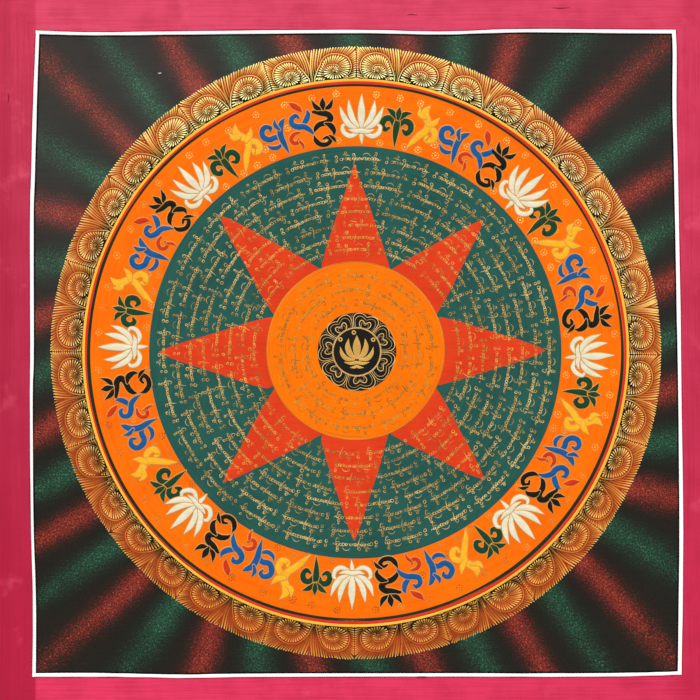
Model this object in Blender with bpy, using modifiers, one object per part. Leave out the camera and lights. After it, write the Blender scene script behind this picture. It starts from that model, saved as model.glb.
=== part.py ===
"""A square painted cotton canvas that lies on a surface, face up.

Metres, +Z up, +Y towards the painting's top edge. The origin is on the surface, below the
middle of the cloth. The sheet lies flat in its middle. It was kept rolled up, so its top and
bottom edges curl up a little, its corners lift, and shallow waves run along its sides.
"""

import math

import bpy

OBJECT_NAME = "painted_canvas"

# The cloth
SIDE = 0.520
THICKNESS = 0.001
CELLS = 44  # faces along each side of the sheet
EDGE_WANDER = 0.0007  # how far the hand-cut edges leave a straight line
EDGE_WANDER_TURNS = (2.0, 5.0)  # waves of the cut along a side: the slow one and the quick one

# How it lies
FLAT_RADIUS = 0.150  # within this of the middle, the cloth touches the surface all over
CURL_REACH = 0.060  # how far in from an edge its curl starts
PRESSED_FLAT = 0.00025  # a lift smaller than this lies flat under the cloth's own weight

# side, where the lift is highest along the side (-1 to 1), its half width (same scale), height
EDGE_LIFTS = (
    ("top", -0.35, 0.55, 0.0016),
    ("top", 0.60, 0.35, 0.0009),
    ("bottom", 0.25, 0.60, 0.0022),
    ("bottom", -0.70, 0.30, 0.0012),
    ("left", 0.30, 0.40, 0.0010),
    ("left", -0.45, 0.35, 0.0014),
    ("right", -0.15, 0.45, 0.0011),
    ("right", 0.65, 0.30, 0.0008),
)

# corner as the signs of x and y, how far the lift reaches in from it, height at the tip
CORNER_LIFTS = (
    (-1, 1, 0.110, 0.0030),
    (1, 1, 0.090, 0.0019),
    (-1, -1, 0.095, 0.0024),
    (1, -1, 0.120, 0.0036),
)

# The look of the bare solid
BORDER_CRIMSON = (0.62, 0.05, 0.10, 1.0)
CLOTH_ROUGHNESS = 0.80


def smooth(share):
    """0 up to 0, 1 from 1 on, and level at both ends."""
    share = min(max(share, 0.0), 1.0)
    return share * share * (3.0 - 2.0 * share)


def along_and_in(side, x, y):
    """A point's place along a side, from -1 to 1, and its distance in from that side."""
    half = SIDE / 2
    if side == "top":
        return x / half, half - y
    if side == "bottom":
        return x / half, half + y
    if side == "left":
        return y / half, half + x
    return y / half, half - x


def edge_lift(x, y):
    total = 0.0
    for side, middle, half_width, height in EDGE_LIFTS:
        along, distance_in = along_and_in(side, x, y)
        rise = smooth(1.0 - distance_in / CURL_REACH)
        swell = math.exp(-(((along - middle) / half_width) ** 2))
        total += height * rise * swell
    return total


def corner_lift(x, y):
    total = 0.0
    half = SIDE / 2
    for sign_x, sign_y, reach, height in CORNER_LIFTS:
        distance = math.hypot(sign_x * half - x, sign_y * half - y)
        total += height * smooth(1.0 - distance / reach)
    return total


def lift(x, y):
    """How far the underside of the cloth stands off the surface at a point."""
    clear_of_middle = smooth((math.hypot(x, y) - FLAT_RADIUS) / CURL_REACH)
    raised = clear_of_middle * (edge_lift(x, y) + corner_lift(x, y))
    return max(0.0, raised - PRESSED_FLAT)


def cut_wander(place, side_number):
    """How far a hand-cut side leaves its straight line, at a place from -1 to 1 along it."""
    slow, quick = EDGE_WANDER_TURNS
    return EDGE_WANDER * (
        0.7 * math.sin(math.pi * slow * place + 1.3 * side_number)
        + 0.3 * math.sin(math.pi * quick * place + 2.1 * side_number)
    )


def cut_outline(x, y):
    """Moves a point of a true square to where the uneven cut puts it."""
    half = SIDE / 2
    across, up = x / half, y / half
    shift_x = cut_wander(up, 1 if across > 0 else 2) * abs(across) ** 3
    shift_y = cut_wander(across, 3 if up > 0 else 4) * abs(up) ** 3
    return x + shift_x, y + shift_y


def clear_scene():
    for old in list(bpy.data.objects):
        bpy.data.objects.remove(old, do_unlink=True)


def cloth_material():
    material = bpy.data.materials.new("painted_cotton")
    material.use_nodes = True
    shader = material.node_tree.nodes["Principled BSDF"]
    shader.inputs["Base Color"].default_value = BORDER_CRIMSON
    shader.inputs["Roughness"].default_value = CLOTH_ROUGHNESS
    shader.inputs["Metallic"].default_value = 0.0
    return material


def centre_outline(mesh):
    """Puts the middle of the cut outline over the origin."""
    for axis in (0, 1):
        places = [vertex.co[axis] for vertex in mesh.vertices]
        middle = (min(places) + max(places)) / 2
        for vertex in mesh.vertices:
            vertex.co[axis] -= middle


def make_canvas(collection):
    """The grid is the cloth's underside, and its thickness stands on it."""
    bpy.ops.mesh.primitive_grid_add(x_subdivisions=CELLS, y_subdivisions=CELLS, size=SIDE)
    canvas = bpy.context.active_object
    canvas.name = OBJECT_NAME
    canvas.data.name = OBJECT_NAME
    for vertex in canvas.data.vertices:
        x, y = vertex.co.x, vertex.co.y
        vertex.co.z = lift(x, y)
        vertex.co.x, vertex.co.y = cut_outline(x, y)
    centre_outline(canvas.data)

    thicken = canvas.modifiers.new("cloth_thickness", "SOLIDIFY")
    thicken.thickness = THICKNESS
    thicken.offset = 1.0
    thicken.use_even_offset = True

    canvas.data.materials.append(cloth_material())
    canvas.data.shade_smooth()
    for other in list(canvas.users_collection):
        other.objects.unlink(canvas)
    collection.objects.link(canvas)
    return canvas


def main():
    clear_scene()
    collection = bpy.data.collections.new(OBJECT_NAME)
    bpy.context.scene.collection.children.link(collection)
    make_canvas(collection)


main()
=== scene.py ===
import math

import bpy
import numpy as np
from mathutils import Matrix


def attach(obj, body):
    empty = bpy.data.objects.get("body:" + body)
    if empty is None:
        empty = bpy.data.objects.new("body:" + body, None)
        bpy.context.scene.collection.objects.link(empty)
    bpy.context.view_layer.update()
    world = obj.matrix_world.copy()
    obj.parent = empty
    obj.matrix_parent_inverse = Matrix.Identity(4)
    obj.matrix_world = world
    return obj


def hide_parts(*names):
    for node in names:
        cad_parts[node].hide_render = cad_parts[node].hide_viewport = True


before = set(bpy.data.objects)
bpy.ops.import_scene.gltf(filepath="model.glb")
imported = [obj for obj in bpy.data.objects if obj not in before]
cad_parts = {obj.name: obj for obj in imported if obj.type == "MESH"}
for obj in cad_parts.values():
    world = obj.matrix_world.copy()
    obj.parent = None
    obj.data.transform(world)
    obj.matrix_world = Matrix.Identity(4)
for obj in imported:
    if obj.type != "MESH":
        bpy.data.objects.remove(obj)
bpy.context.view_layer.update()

print("mandala canvas: frame loaded")

mm = 0.001  # sizes below are in millimetres, and become metres in meshPiece
dice = np.random.default_rng(17)  # the one source of all that is uneven by hand


# ---- the shape of the lying cloth

cloth = {
    "side": 520.0,
    "thickness": 1.0,
    "cells": 132,
    "edgeWander": 0.7,  # how far the hand-cut edges leave a straight line
    "wanderTurns": (2.0, 5.0),
    "flatRadius": 150.0,  # lies on the surface all over within this
    "curlReach": 60.0,
    "pressedFlat": 0.25,
    "fray": 0.16, "frayUneven": 0.10,  # how far threads stand out at the middle of the cut edge
    # side, middle of the lift along the side (-1 to 1), half width, height
    "edgeLifts": (
        ("top", -0.35, 0.55, 1.6), ("top", 0.60, 0.35, 0.9),
        ("bottom", 0.25, 0.60, 2.2), ("bottom", -0.70, 0.30, 1.2),
        ("left", 0.30, 0.40, 1.0), ("left", -0.45, 0.35, 1.4),
        ("right", -0.15, 0.45, 1.1), ("right", 0.65, 0.30, 0.8),
    ),
    # corner as signs of x and y, reach, height
    "cornerLifts": ((-1, 1, 110.0, 3.0), (1, 1, 90.0, 1.9), (-1, -1, 95.0, 2.4), (1, -1, 120.0, 3.6)),
}


def ease(share):
    share = np.clip(share, 0.0, 1.0)
    return share * share * (3.0 - 2.0 * share)


def clothLift(x, y):
    half = cloth["side"] / 2
    places = {"top": (x, half - y), "bottom": (x, half + y), "left": (y, half + x), "right": (y, half - x)}
    total = 0.0
    for side, middle, halfWidth, height in cloth["edgeLifts"]:
        along, inward = places[side]
        swell = np.exp(-(((along / half - middle) / halfWidth) ** 2))
        total = total + height * ease(1 - inward / cloth["curlReach"]) * swell
    for signX, signY, reach, height in cloth["cornerLifts"]:
        total = total + height * ease(1 - np.hypot(signX * half - x, signY * half - y) / reach)
    clear = ease((np.hypot(x, y) - cloth["flatRadius"]) / cloth["curlReach"])
    return np.maximum(0.0, clear * total - cloth["pressedFlat"])


def paintedFace(x, y):
    return clothLift(x, y) + cloth["thickness"]


def cutWander(place, side):
    slow, quick = cloth["wanderTurns"]
    return cloth["edgeWander"] * (0.7 * np.sin(math.pi * slow * place + 1.3 * side)
                                  + 0.3 * np.sin(math.pi * quick * place + 2.1 * side))


# ---- meshes: every mark of paint is gathered in one of these before it becomes a piece

def newPaint():
    return {"points": [], "tones": [], "faces": [], "slots": [], "count": 0}


def addPoints(paint, points, tone):
    start = paint["count"]
    paint["points"].append(points)
    paint["tones"].append(np.broadcast_to(np.asarray(tone, float), (len(points),)))
    paint["count"] += len(points)
    return start


def addFaces(paint, faces, slot=0):
    faces = np.asarray(faces).reshape(-1, np.asarray(faces).shape[-1]).tolist()
    paint["faces"] += faces
    paint["slots"] += [slot] * len(faces)


def joinRings(paint, outer, inner, slot=0):
    # quads between two rings of points, each given by the numbers of its points
    after = np.roll(np.arange(len(outer)), -1)
    addFaces(paint, np.stack([outer, outer[after], inner[after], inner], 1), slot)


def closeRing(paint, ring, middle):
    addFaces(paint, np.stack([ring, np.roll(ring, -1), np.full(len(ring), middle)], 1))


def meshPiece(name, paint, materials, overCloth=True):
    points = np.concatenate(paint["points"]).astype(float)
    if overCloth:
        points[:, 2] += paintedFace(points[:, 0], points[:, 1])
    mesh = bpy.data.meshes.new(name)
    mesh.from_pydata((points * mm).tolist(), [], paint["faces"])
    mesh.attributes.new("tone", "FLOAT", "POINT").data.foreach_set("value", np.concatenate(paint["tones"]))
    for material in materials:
        mesh.materials.append(material)
    if len(materials) > 1:
        mesh.polygons.foreach_set("material_index", paint["slots"])
    mesh.shade_smooth()
    piece = bpy.data.objects.new(name, mesh)
    bpy.context.scene.collection.objects.link(piece)
    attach(piece, "root")
    return piece


def turnsOf(count):
    return np.linspace(0, 2 * math.pi, count, endpoint=False)


def polar(reach, turns, centre=(0.0, 0.0)):
    return np.stack([centre[0] + reach * np.cos(turns), centre[1] + reach * np.sin(turns)], 1)


def unitAt(turn):
    return np.array([math.cos(turn), math.sin(turn)])


def waver(turns, size, waves=7):
    # the unsteady hand along a drawn circle
    total = 0.0
    for wave in range(2, 2 + waves):
        total = total + dice.normal() * np.sin(wave * turns + dice.uniform(0, 6.28)) / math.sqrt(waves)
    return size * total


def smoothRun(table, count):
    # a smooth line through the rows of a table, however many columns it has
    rows = np.asarray(table, float)
    spans = len(rows) - 1
    padded = np.vstack([2 * rows[0] - rows[1], rows, 2 * rows[-1] - rows[-2]])
    along = np.linspace(0, spans, count)
    start = np.minimum(along.astype(int), spans - 1)
    part = (along - start)[:, None]
    a, b, c, d = (padded[start + k] for k in range(4))
    return 0.5 * (2 * b + (c - a) * part + (2 * a - 5 * b + 4 * c - d) * part ** 2
                  + (3 * b - a - 3 * c + d) * part ** 3)


# a stroke's section: share of its half width, share of its crown
thinMark = ((-1.0, 0.0), (0.0, 1.0), (1.0, 0.0))
broadMark = ((-1.0, 0.0), (-0.74, 1.0), (0.74, 1.0), (1.0, 0.0))
fullMark = ((-1.0, 0.0), (-0.93, 1.0), (0.93, 1.0), (1.0, 0.0))
brush = {
    "fullCrown": 0.6,  # a stroke has its whole crown from this share of its greatest width on
    "hair": 0.05, "point": 0.2,  # the thinnest half width, and an end thinner than this stays pointed
    "capTurns": (0.45, 0.9, 1.25, 1.5), "capHair": 0.04,
    "dropShoulder": 0.55, "dropRise": 0.8, "dropUneven": 0.12,
}


def addStroke(paint, run, halfWidth, low, crown, tone=0.5, profile=thinMark, closed=False, level=False):
    run = np.asarray(run, float)
    count, across = len(run), len(profile)
    halfWidth = np.broadcast_to(np.asarray(halfWidth, float), (count,))
    if closed:
        heading = np.roll(run, -1, 0) - np.roll(run, 1, 0)
    else:
        heading = np.gradient(run, axis=0)
    heading = heading / np.maximum(np.hypot(heading[:, 0], heading[:, 1]), 1e-9)[:, None]
    side = np.stack([-heading[:, 1], heading[:, 0]], 1)
    swell = np.ones(count) if level else np.minimum(1.0, halfWidth / (brush["fullCrown"] * halfWidth.max()))
    points = np.empty((count, across, 3))
    for place, (share, height) in enumerate(profile):
        points[:, place, :2] = run + side * (halfWidth * share)[:, None]
        points[:, place, 2] = low + crown * height * swell
    tones = np.repeat(np.broadcast_to(np.asarray(tone, float), (count,)), across)
    start = addPoints(paint, points.reshape(-1, 3), tones)
    rows = start + np.arange(count * across).reshape(count, across)
    if closed:
        rows = np.vstack([rows, rows[:1]])
    addFaces(paint, np.stack([rows[:-1, :-1], rows[1:, :-1], rows[1:, 1:], rows[:-1, 1:]], -1))


def brushMark(table, spacing=0.7, wider=0.0):
    # rows of x, y, half width become a close run with rounded ends
    rows = np.asarray(table, float)
    length = np.hypot(*np.diff(rows[:, :2], axis=0).T).sum()
    dense = smoothRun(rows, max(7, int(length / spacing)))
    dense[:, 2] = np.maximum(dense[:, 2], brush["hair"]) + wider
    for first in (True, False):
        end, inner = (dense[0], dense[1]) if first else (dense[-1], dense[-2])
        if end[2] < brush["point"]:
            continue
        out = (end[:2] - inner[:2]) / max(np.hypot(*(end[:2] - inner[:2])), 1e-6)
        cap = [[*(end[:2] + out * end[2] * math.sin(turn)), max(end[2] * math.cos(turn), brush["capHair"])]
               for turn in brush["capTurns"]]
        dense = np.vstack([cap[::-1], dense]) if first else np.vstack([dense, cap])
    return dense


def addDot(paint, centre, radius, low, crown, tone=0.5, sides=8):
    turns = turnsOf(sides) + dice.uniform(0, 1)
    uneven = radius * (1 + brush["dropUneven"] * dice.uniform(-1, 1, sides))
    rings = [np.column_stack([polar(share * uneven, turns, centre), np.full(sides, low + rise * crown)])
             for share, rise in ((1.0, 0.0), (brush["dropShoulder"], brush["dropRise"]))]
    start = addPoints(paint, np.vstack([*rings, [[centre[0], centre[1], low + crown]]]), tone)
    edge = start + np.arange(sides)
    joinRings(paint, edge, edge + sides)
    closeRing(paint, edge + sides, start + 2 * sides)


def addFilm(paint, rings, filled=False, tone=0.5):
    # joins outlines of equal length from the outside in; rings holds pairs of outline and height
    count = len(rings[0][0])
    points = np.vstack([np.column_stack([outline, np.full(count, height)]) for outline, height in rings])
    if filled:
        points = np.vstack([points, [[*rings[-1][0].mean(axis=0), rings[-1][1]]]])
    edge = addPoints(paint, points, tone) + np.arange(count)
    for _ in rings[1:]:
        joinRings(paint, edge, edge + count)
        edge = edge + count
    if filled:
        closeRing(paint, edge, edge[0] + count)


def bandFilm(paint, outer, inner, low, top, count=360, steps=2, rim=0.35):
    flat = inner - outer + 2 * rim
    radii = [(outer, low), (outer - rim, top)]
    radii += [(outer - rim + flat * share, top) for share in np.linspace(0, 1, steps + 1)[1:-1]]
    radii += [(inner + rim, top), (inner, low)]
    addFilm(paint, [(polar(radius, turnsOf(count)), height) for radius, height in radii])


def discFilm(paint, outline, low, top, steps=8, rim=0.35, centre=(0.0, 0.0)):
    middle = np.array(centre)
    reach = np.hypot(*(outline - middle).T)[:, None]
    inset = middle + (outline - middle) * (1 - rim / reach)
    rings = [(outline, low), (inset, top)]
    rings += [(middle + (inset - middle) * share, top) for share in np.linspace(1, 0, steps + 1)[1:-1]]
    addFilm(paint, rings, filled=True)


# ---- node tools

def linear(red, green, blue):
    # a paint colour as it looks, 0 to 255, to the shader's own scale
    return tuple((c / 12.92 if c <= 0.04045 else ((c + 0.055) / 1.055) ** 2.4)
                 for c in (red / 255, green / 255, blue / 255)) + (1.0,)


def setInputs(tree, node, values):
    for key, value in values.items():
        if isinstance(value, bpy.types.NodeSocket):
            tree.links.new(value, node.inputs[key])
        else:
            node.inputs[key].default_value = value


def addNode(tree, kind, inputs, **settings):
    node = tree.nodes.new("ShaderNode" + kind)
    for key, value in settings.items():
        setattr(node, key, value)
    setInputs(tree, node, inputs)
    return node.outputs


def placeGroup(tree, group, inputs):
    node = tree.nodes.new("ShaderNodeGroup")
    node.node_tree = group
    setInputs(tree, node, inputs)
    return node.outputs


def maths(tree, operation, first, second=0.0, third=0.0, clamp=False):
    return addNode(tree, "Math", {0: first, 1: second, 2: third}, operation=operation, use_clamp=clamp)[0]


def times(tree, first, second):
    return maths(tree, "MULTIPLY", first, second)


def timesPlus(tree, first, second, third, clamp=False):
    return maths(tree, "MULTIPLY_ADD", first, second, third, clamp)


def nudge(tree, value, pattern, size, clamp=False):
    # moves a value up and down by a pattern that runs from 0 to 1
    return timesPlus(tree, maths(tree, "SUBTRACT", pattern, 0.5), size, value, clamp)


def vectorMaths(tree, operation, inputs, output=0):
    return addNode(tree, "VectorMath", inputs, operation=operation)[output]


def mixColour(tree, share, first, second, blend="MIX"):
    return addNode(tree, "Mix", {0: share, 6: first, 7: second}, data_type="RGBA", blend_type=blend)[2]


def mixValue(tree, share, first, second):
    return addNode(tree, "Mix", {0: share, 2: first, 3: second})[0]


def remap(tree, value, low, high, toLow=0.0, toHigh=1.0, kind="SMOOTHSTEP"):
    inputs = {0: value, 1: low, 2: high, 3: toLow, 4: toHigh}
    return addNode(tree, "MapRange", inputs, interpolation_type=kind)[0]


def noise(tree, vector, scale=1.0, detail=2.0, roughness=0.5):
    inputs = {"Vector": vector, "Scale": scale, "Detail": detail, "Roughness": roughness}
    return addNode(tree, "TexNoise", inputs)[0]


def splitOf(tree, vector):
    return addNode(tree, "SeparateXYZ", {0: vector})


def placeInMm(tree):
    return vectorMaths(tree, "SCALE", {0: addNode(tree, "TexCoord", {})["Object"], 3: 1000.0})


def reachOf(tree, place):
    split = splitOf(tree, place)
    flat = addNode(tree, "CombineXYZ", {0: split[0], 1: split[1]})[0]
    return vectorMaths(tree, "LENGTH", {0: flat}, "Value")


def newGroup(name, inputs, outputs):
    group = bpy.data.node_groups.new(name, "ShaderNodeTree")
    for label, kind, start in inputs:
        group.interface.new_socket(label, in_out="INPUT", socket_type="NodeSocket" + kind).default_value = start
    for label, kind in outputs:
        group.interface.new_socket(label, in_out="OUTPUT", socket_type="NodeSocket" + kind)
    return group, group.nodes.new("NodeGroupInput").outputs, group.nodes.new("NodeGroupOutput").inputs


def buildCottonWeave():
    # plain weave of the canvas, felt through thin paint
    tree, given, out = newGroup("cottonWeave", [("Thread", "Float", 0.55), ("Relief", "Float", 0.03)],
                                [("Height", "Float"), ("Gap", "Float")])
    place = placeInMm(tree)
    split = splitOf(tree, place)
    slub = noise(tree, place, 0.09, 3.0)
    turn = maths(tree, "DIVIDE", math.pi, given["Thread"])
    warp, weft = (maths(tree, "SINE", times(tree, timesPlus(tree, slub, sway, split[axis]), turn))
                  for axis, sway in ((0, 0.9), (1, 0.7)))
    over = timesPlus(tree, times(tree, warp, weft), 0.5, 0.5)
    uneven = remap(tree, noise(tree, place, 0.5, 2.0), 0.3, 0.7, 0.55, 1.0)
    tree.links.new(times(tree, times(tree, over, uneven), given["Relief"]), out["Height"])
    tree.links.new(remap(tree, over, 0.45, 0.1), out["Gap"])
    return tree


def buildHandPaint():
    # matt paint laid by brush: streaks along the stroke, broad blotches, fine grain
    tree, given, out = newGroup(
        "handPaint",
        [("Colour", "Color", (0.5, 0.5, 0.5, 1)), ("Deep Colour", "Color", (0.3, 0.3, 0.3, 1)),
         ("Blotch Size", "Float", 30.0), ("Streak Length", "Float", 40.0), ("Streak Width", "Float", 1.6),
         ("Streak Turn", "Float", 0.0), ("Round", "Float", 0.0), ("Blotch", "Float", 0.4),
         ("Streak", "Float", 0.4), ("Roughness", "Float", 0.6), ("Relief", "Float", 0.03)],
        [("Colour", "Color"), ("Roughness", "Float"), ("Height", "Float")])
    place = placeInMm(tree)
    flat = vectorMaths(tree, "MULTIPLY", {0: place, 1: (1.0, 1.0, 0.0)})
    turning = {"Vector": flat, "Angle": given["Streak Turn"]}
    turned = addNode(tree, "VectorRotate", turning, rotation_type="Z_AXIS")[0]
    split = splitOf(tree, turned)
    straight = addNode(tree, "CombineXYZ", {0: maths(tree, "DIVIDE", split[0], given["Streak Length"]),
                                            1: maths(tree, "DIVIDE", split[1], given["Streak Width"])})[0]
    # round strokes follow the circles about the middle: the pattern changes slowly with the
    # direction from the middle, and quickly with the distance
    heading = vectorMaths(tree, "NORMALIZE", {0: flat})
    reach = vectorMaths(tree, "LENGTH", {0: flat}, "Value")
    outward = addNode(tree, "CombineXYZ", {2: maths(tree, "DIVIDE", reach, given["Streak Width"])})[0]
    bowed = vectorMaths(tree, "ADD", {0: vectorMaths(tree, "SCALE", {0: heading, 3: 4.0}), 1: outward})
    chosen = addNode(tree, "Mix", {0: given["Round"], 4: straight, 5: bowed}, data_type="VECTOR")[1]
    streak = noise(tree, chosen, 1.0, 3.0, 0.6)
    inverse = maths(tree, "DIVIDE", 1.0, given["Blotch Size"])
    blotch = noise(tree, vectorMaths(tree, "SCALE", {0: place, 3: inverse}), 1.0, 4.0, 0.55)
    grain = noise(tree, place, 1.3, 2.0, 0.6)
    share = times(tree, remap(tree, streak, 0.38, 0.68), given["Streak"])
    share = timesPlus(tree, remap(tree, blotch, 0.38, 0.66), given["Blotch"], share, True)
    share = nudge(tree, share, grain, 0.25, True)
    tree.links.new(mixColour(tree, share, given["Colour"], given["Deep Colour"]), out["Colour"])
    uneven = nudge(tree, nudge(tree, given["Roughness"], streak, 0.22), blotch, 0.15, True)
    tree.links.new(uneven, out["Roughness"])
    tree.links.new(times(tree, timesPlus(tree, grain, 0.35, streak), given["Relief"]), out["Height"])
    return tree


def buildGoldTone():
    # gold paint: pale where the loaded brush set down, deeper where it ran dry
    tree, given, out = newGroup(
        "goldTone",
        [("Tone", "Float", 0.5), ("Pale", "Color", (1, 0.8, 0.3, 1)), ("Rich", "Color", (0.6, 0.3, 0.1, 1)),
         ("Deep", "Color", (0.3, 0.1, 0.03, 1)), ("Fleck", "Float", 0.4)],
        [("Colour", "Color"), ("Roughness", "Float"), ("Height", "Float")])
    place = placeInMm(tree)
    grain = noise(tree, place, 1.6, 3.0, 0.65)
    drift = noise(tree, place, 0.05, 2.0)
    tone = nudge(tree, nudge(tree, given["Tone"], grain, given["Fleck"]), drift, 0.5, True)
    low = mixColour(tree, remap(tree, tone, 0.0, 0.5, kind="LINEAR"), given["Deep"], given["Rich"])
    colour = mixColour(tree, remap(tree, tone, 0.5, 1.0, kind="LINEAR"), low, given["Pale"])
    tree.links.new(colour, out["Colour"])
    tree.links.new(remap(tree, grain, 0.3, 0.7, 0.34, 0.52, "LINEAR"), out["Roughness"])
    tree.links.new(times(tree, grain, 0.05), out["Height"])
    return tree


cottonWeave = buildCottonWeave()
handPaint = buildHandPaint()
goldTone = buildGoldTone()


def startMaterial(name, specular, metallic=0.0):
    material = bpy.data.materials.new(name)
    material.use_nodes = True
    tree = material.node_tree
    shader = tree.nodes["Principled BSDF"]
    shader.inputs["Specular IOR Level"].default_value = specular
    shader.inputs["Metallic"].default_value = metallic
    return material, tree, shader


def wire(tree, shader, colour, roughness, heights):
    total = heights[0]
    for other in heights[1:]:
        total = maths(tree, "ADD", total, other)
    bump = addNode(tree, "Bump", {"Height": total, "Distance": 0.001, "Strength": 1.0})[0]
    setInputs(tree, shader, {"Base Color": colour, "Roughness": roughness, "Normal": bump})


def threadsIn(tree, relief):
    return placeGroup(tree, cottonWeave, {"Relief": relief})


def paintMaterial(name, colour, deep, strokes, weave=0.02):
    material, tree, shader = startMaterial(name, 0.06)
    laid = placeGroup(tree, handPaint, {"Colour": linear(*colour), "Deep Colour": linear(*deep), **strokes})
    wire(tree, shader, laid["Colour"], laid["Roughness"], [laid["Height"], threadsIn(tree, weave)["Height"]])
    return material


def goldMaterial(name, pale, rich, deep, fleck=0.4):
    material, tree, shader = startMaterial(name, 0.2, 0.15)
    tone = addNode(tree, "Attribute", {}, attribute_name="tone")["Fac"]
    gold = placeGroup(tree, goldTone, {"Tone": tone, "Pale": linear(*pale), "Rich": linear(*rich),
                                       "Deep": linear(*deep), "Fleck": fleck})
    wire(tree, shader, gold["Colour"], gold["Roughness"], [gold["Height"]])
    return material


# ---- the canvas

canvasPaint = {
    # along each side: place in mm, colour; the paler, pinker coat along the top is partly the paint and partly
    # painted sheen
    "top": ((-230, (216, 73, 103)), (230, (213, 68, 99))),
    "bottom": ((-230, (222, 57, 96)), (40, (218, 55, 93)), (230, (209, 52, 88))),
    "left": ((-200, (178, 32, 65)), (0, (180, 44, 75)), (150, (187, 53, 80)), (250, (204, 60, 88))),
    "right": ((-200, (195, 42, 77)), (0, (192, 50, 82)), (150, (204, 58, 90))),
    # where the coat of one side ends on the next one
    "leftFrom": (-225.5, -227.8), "rightFrom": (222.0, 236.0), "bottomFrom": (-227.5, -228.5),
    "deep": linear(156, 22, 52), "bright": linear(240, 96, 124), "brightMost": 0.35,
    "dry": linear(160, 26, 54), "dryFrom": (-242.0, -247.0), "dryMost": 0.35,  # a drier band on the outer left
    "strokes": {"Streak Length": 60.0, "Streak Width": 1.3, "Blotch Size": 24.0, "Streak": 0.24, "Blotch": 0.22,
                "Roughness": 0.62, "Relief": 0.05},
    "weave": 0.035,
    "back": {"Colour": linear(222, 208, 182), "Deep Colour": linear(186, 168, 138), "Blotch Size": 60.0,
             "Streak Length": 14.0, "Streak Width": 0.6, "Streak": 0.35, "Blotch": 0.45, "Roughness": 0.9,
             "Relief": 0.02},
    # painted shade: the back is darker in the gaps between the threads
    "backGapShade": linear(140, 118, 88), "backWeave": 0.09,
}


def blendAlong(tree, place, table):
    colour = linear(*table[0][1])
    for (start, _), (end, tone) in zip(table, table[1:]):
        colour = mixColour(tree, remap(tree, place, float(start), float(end)), colour, linear(*tone))
    return colour


def borderMaterial():
    kit = canvasPaint
    material, tree, shader = startMaterial("crimsonBorder", 0.06)
    place = placeInMm(tree)
    split = splitOf(tree, place)
    x, y = split[0], split[1]
    colour = mixColour(tree, remap(tree, y, *kit["bottomFrom"]), blendAlong(tree, x, kit["top"]),
                       blendAlong(tree, x, kit["bottom"]))
    colour = mixColour(tree, remap(tree, x, *kit["rightFrom"]), colour, blendAlong(tree, y, kit["right"]))
    colour = mixColour(tree, remap(tree, x, *kit["leftFrom"]), colour, blendAlong(tree, y, kit["left"]))
    # the coats run along their own side of the cloth
    upright = maths(tree, "GREATER_THAN", maths(tree, "ABSOLUTE", x), maths(tree, "ABSOLUTE", y))
    strokes = {"Colour": colour, "Deep Colour": kit["deep"], **kit["strokes"]}
    across = placeGroup(tree, handPaint, strokes)
    down = placeGroup(tree, handPaint, {**strokes, "Streak Turn": math.pi / 2})
    laid = mixColour(tree, upright, across["Colour"], down["Colour"])
    dry = times(tree, remap(tree, x, *kit["dryFrom"]), kit["dryMost"])
    laid = mixColour(tree, dry, laid, kit["dry"])
    rubbed = remap(tree, noise(tree, place, 0.035, 5.0, 0.6), 0.58, 0.78, 0.0, kit["brightMost"])
    wire(tree, shader, mixColour(tree, rubbed, laid, kit["bright"]),
         mixValue(tree, upright, across["Roughness"], down["Roughness"]),
         [mixValue(tree, upright, across["Height"], down["Height"]), threadsIn(tree, kit["weave"])["Height"]])
    return material


def rawCottonMaterial():
    kit = canvasPaint
    material, tree, shader = startMaterial("rawCotton", 0.2)
    threads = threadsIn(tree, kit["backWeave"])
    laid = placeGroup(tree, handPaint, kit["back"])
    # painted shade in the gaps between the threads
    colour = mixColour(tree, times(tree, threads["Gap"], 0.45), laid["Colour"], kit["backGapShade"])
    wire(tree, shader, colour, laid["Roughness"], [laid["Height"], threads["Height"]])
    return material


def gridFaces(grid):
    return np.stack([grid[:-1, :-1], grid[:-1, 1:], grid[1:, 1:], grid[1:, :-1]], -1).reshape(-1, 4)


def makeCanvas():
    cells, half = cloth["cells"], cloth["side"] / 2
    lines = np.linspace(-half, half, cells + 1)
    gridX, gridY = np.meshgrid(lines, lines)
    lift = clothLift(gridX, gridY)
    across, up = gridX / half, gridY / half
    x = gridX + cutWander(up, np.where(across > 0, 1, 2)) * np.abs(across) ** 3
    y = gridY + cutWander(across, np.where(up > 0, 3, 4)) * np.abs(up) ** 3
    x -= (x.min() + x.max()) / 2
    y -= (y.min() + y.max()) / 2
    paint = newPaint()
    top = addPoints(paint, np.stack([x, y, lift + cloth["thickness"]], -1).reshape(-1, 3), 0.5)
    under = addPoints(paint, np.stack([x, y, lift], -1).reshape(-1, 3), 0.5)
    grid = np.arange((cells + 1) ** 2).reshape(cells + 1, cells + 1)
    addFaces(paint, top + gridFaces(grid), 0)
    addFaces(paint, under + gridFaces(grid)[:, ::-1], 1)
    # the cut edge stands out a thread's breadth at its middle
    loop = np.concatenate([grid[0, :-1], grid[:-1, -1], grid[-1, :0:-1], grid[:0:-1, 0]])
    rim = np.stack([x, y], -1).reshape(-1, 2)[loop]
    outward = np.sign(rim) * (np.abs(rim) > half - 2.0)
    fray = cloth["fray"] + cloth["frayUneven"] * dice.uniform(-1, 1, len(loop))
    middle = np.column_stack([rim + outward * fray[:, None], lift.reshape(-1)[loop] + cloth["thickness"] / 2])
    ring = addPoints(paint, middle, 0.5) + np.arange(len(loop))
    joinRings(paint, under + loop, ring, 1)
    joinRings(paint, ring, top + loop, 1)
    return meshPiece("canvas", paint, [borderMaterial(), rawCottonMaterial()], overCloth=False)


canvas = makeCanvas()
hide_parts("painted_canvas")
print("mandala canvas: cloth made")


def lay(name, paint, material):
    meshPiece(name, paint, [material])


# ---- the white frame line, and the dark field inside it

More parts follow.
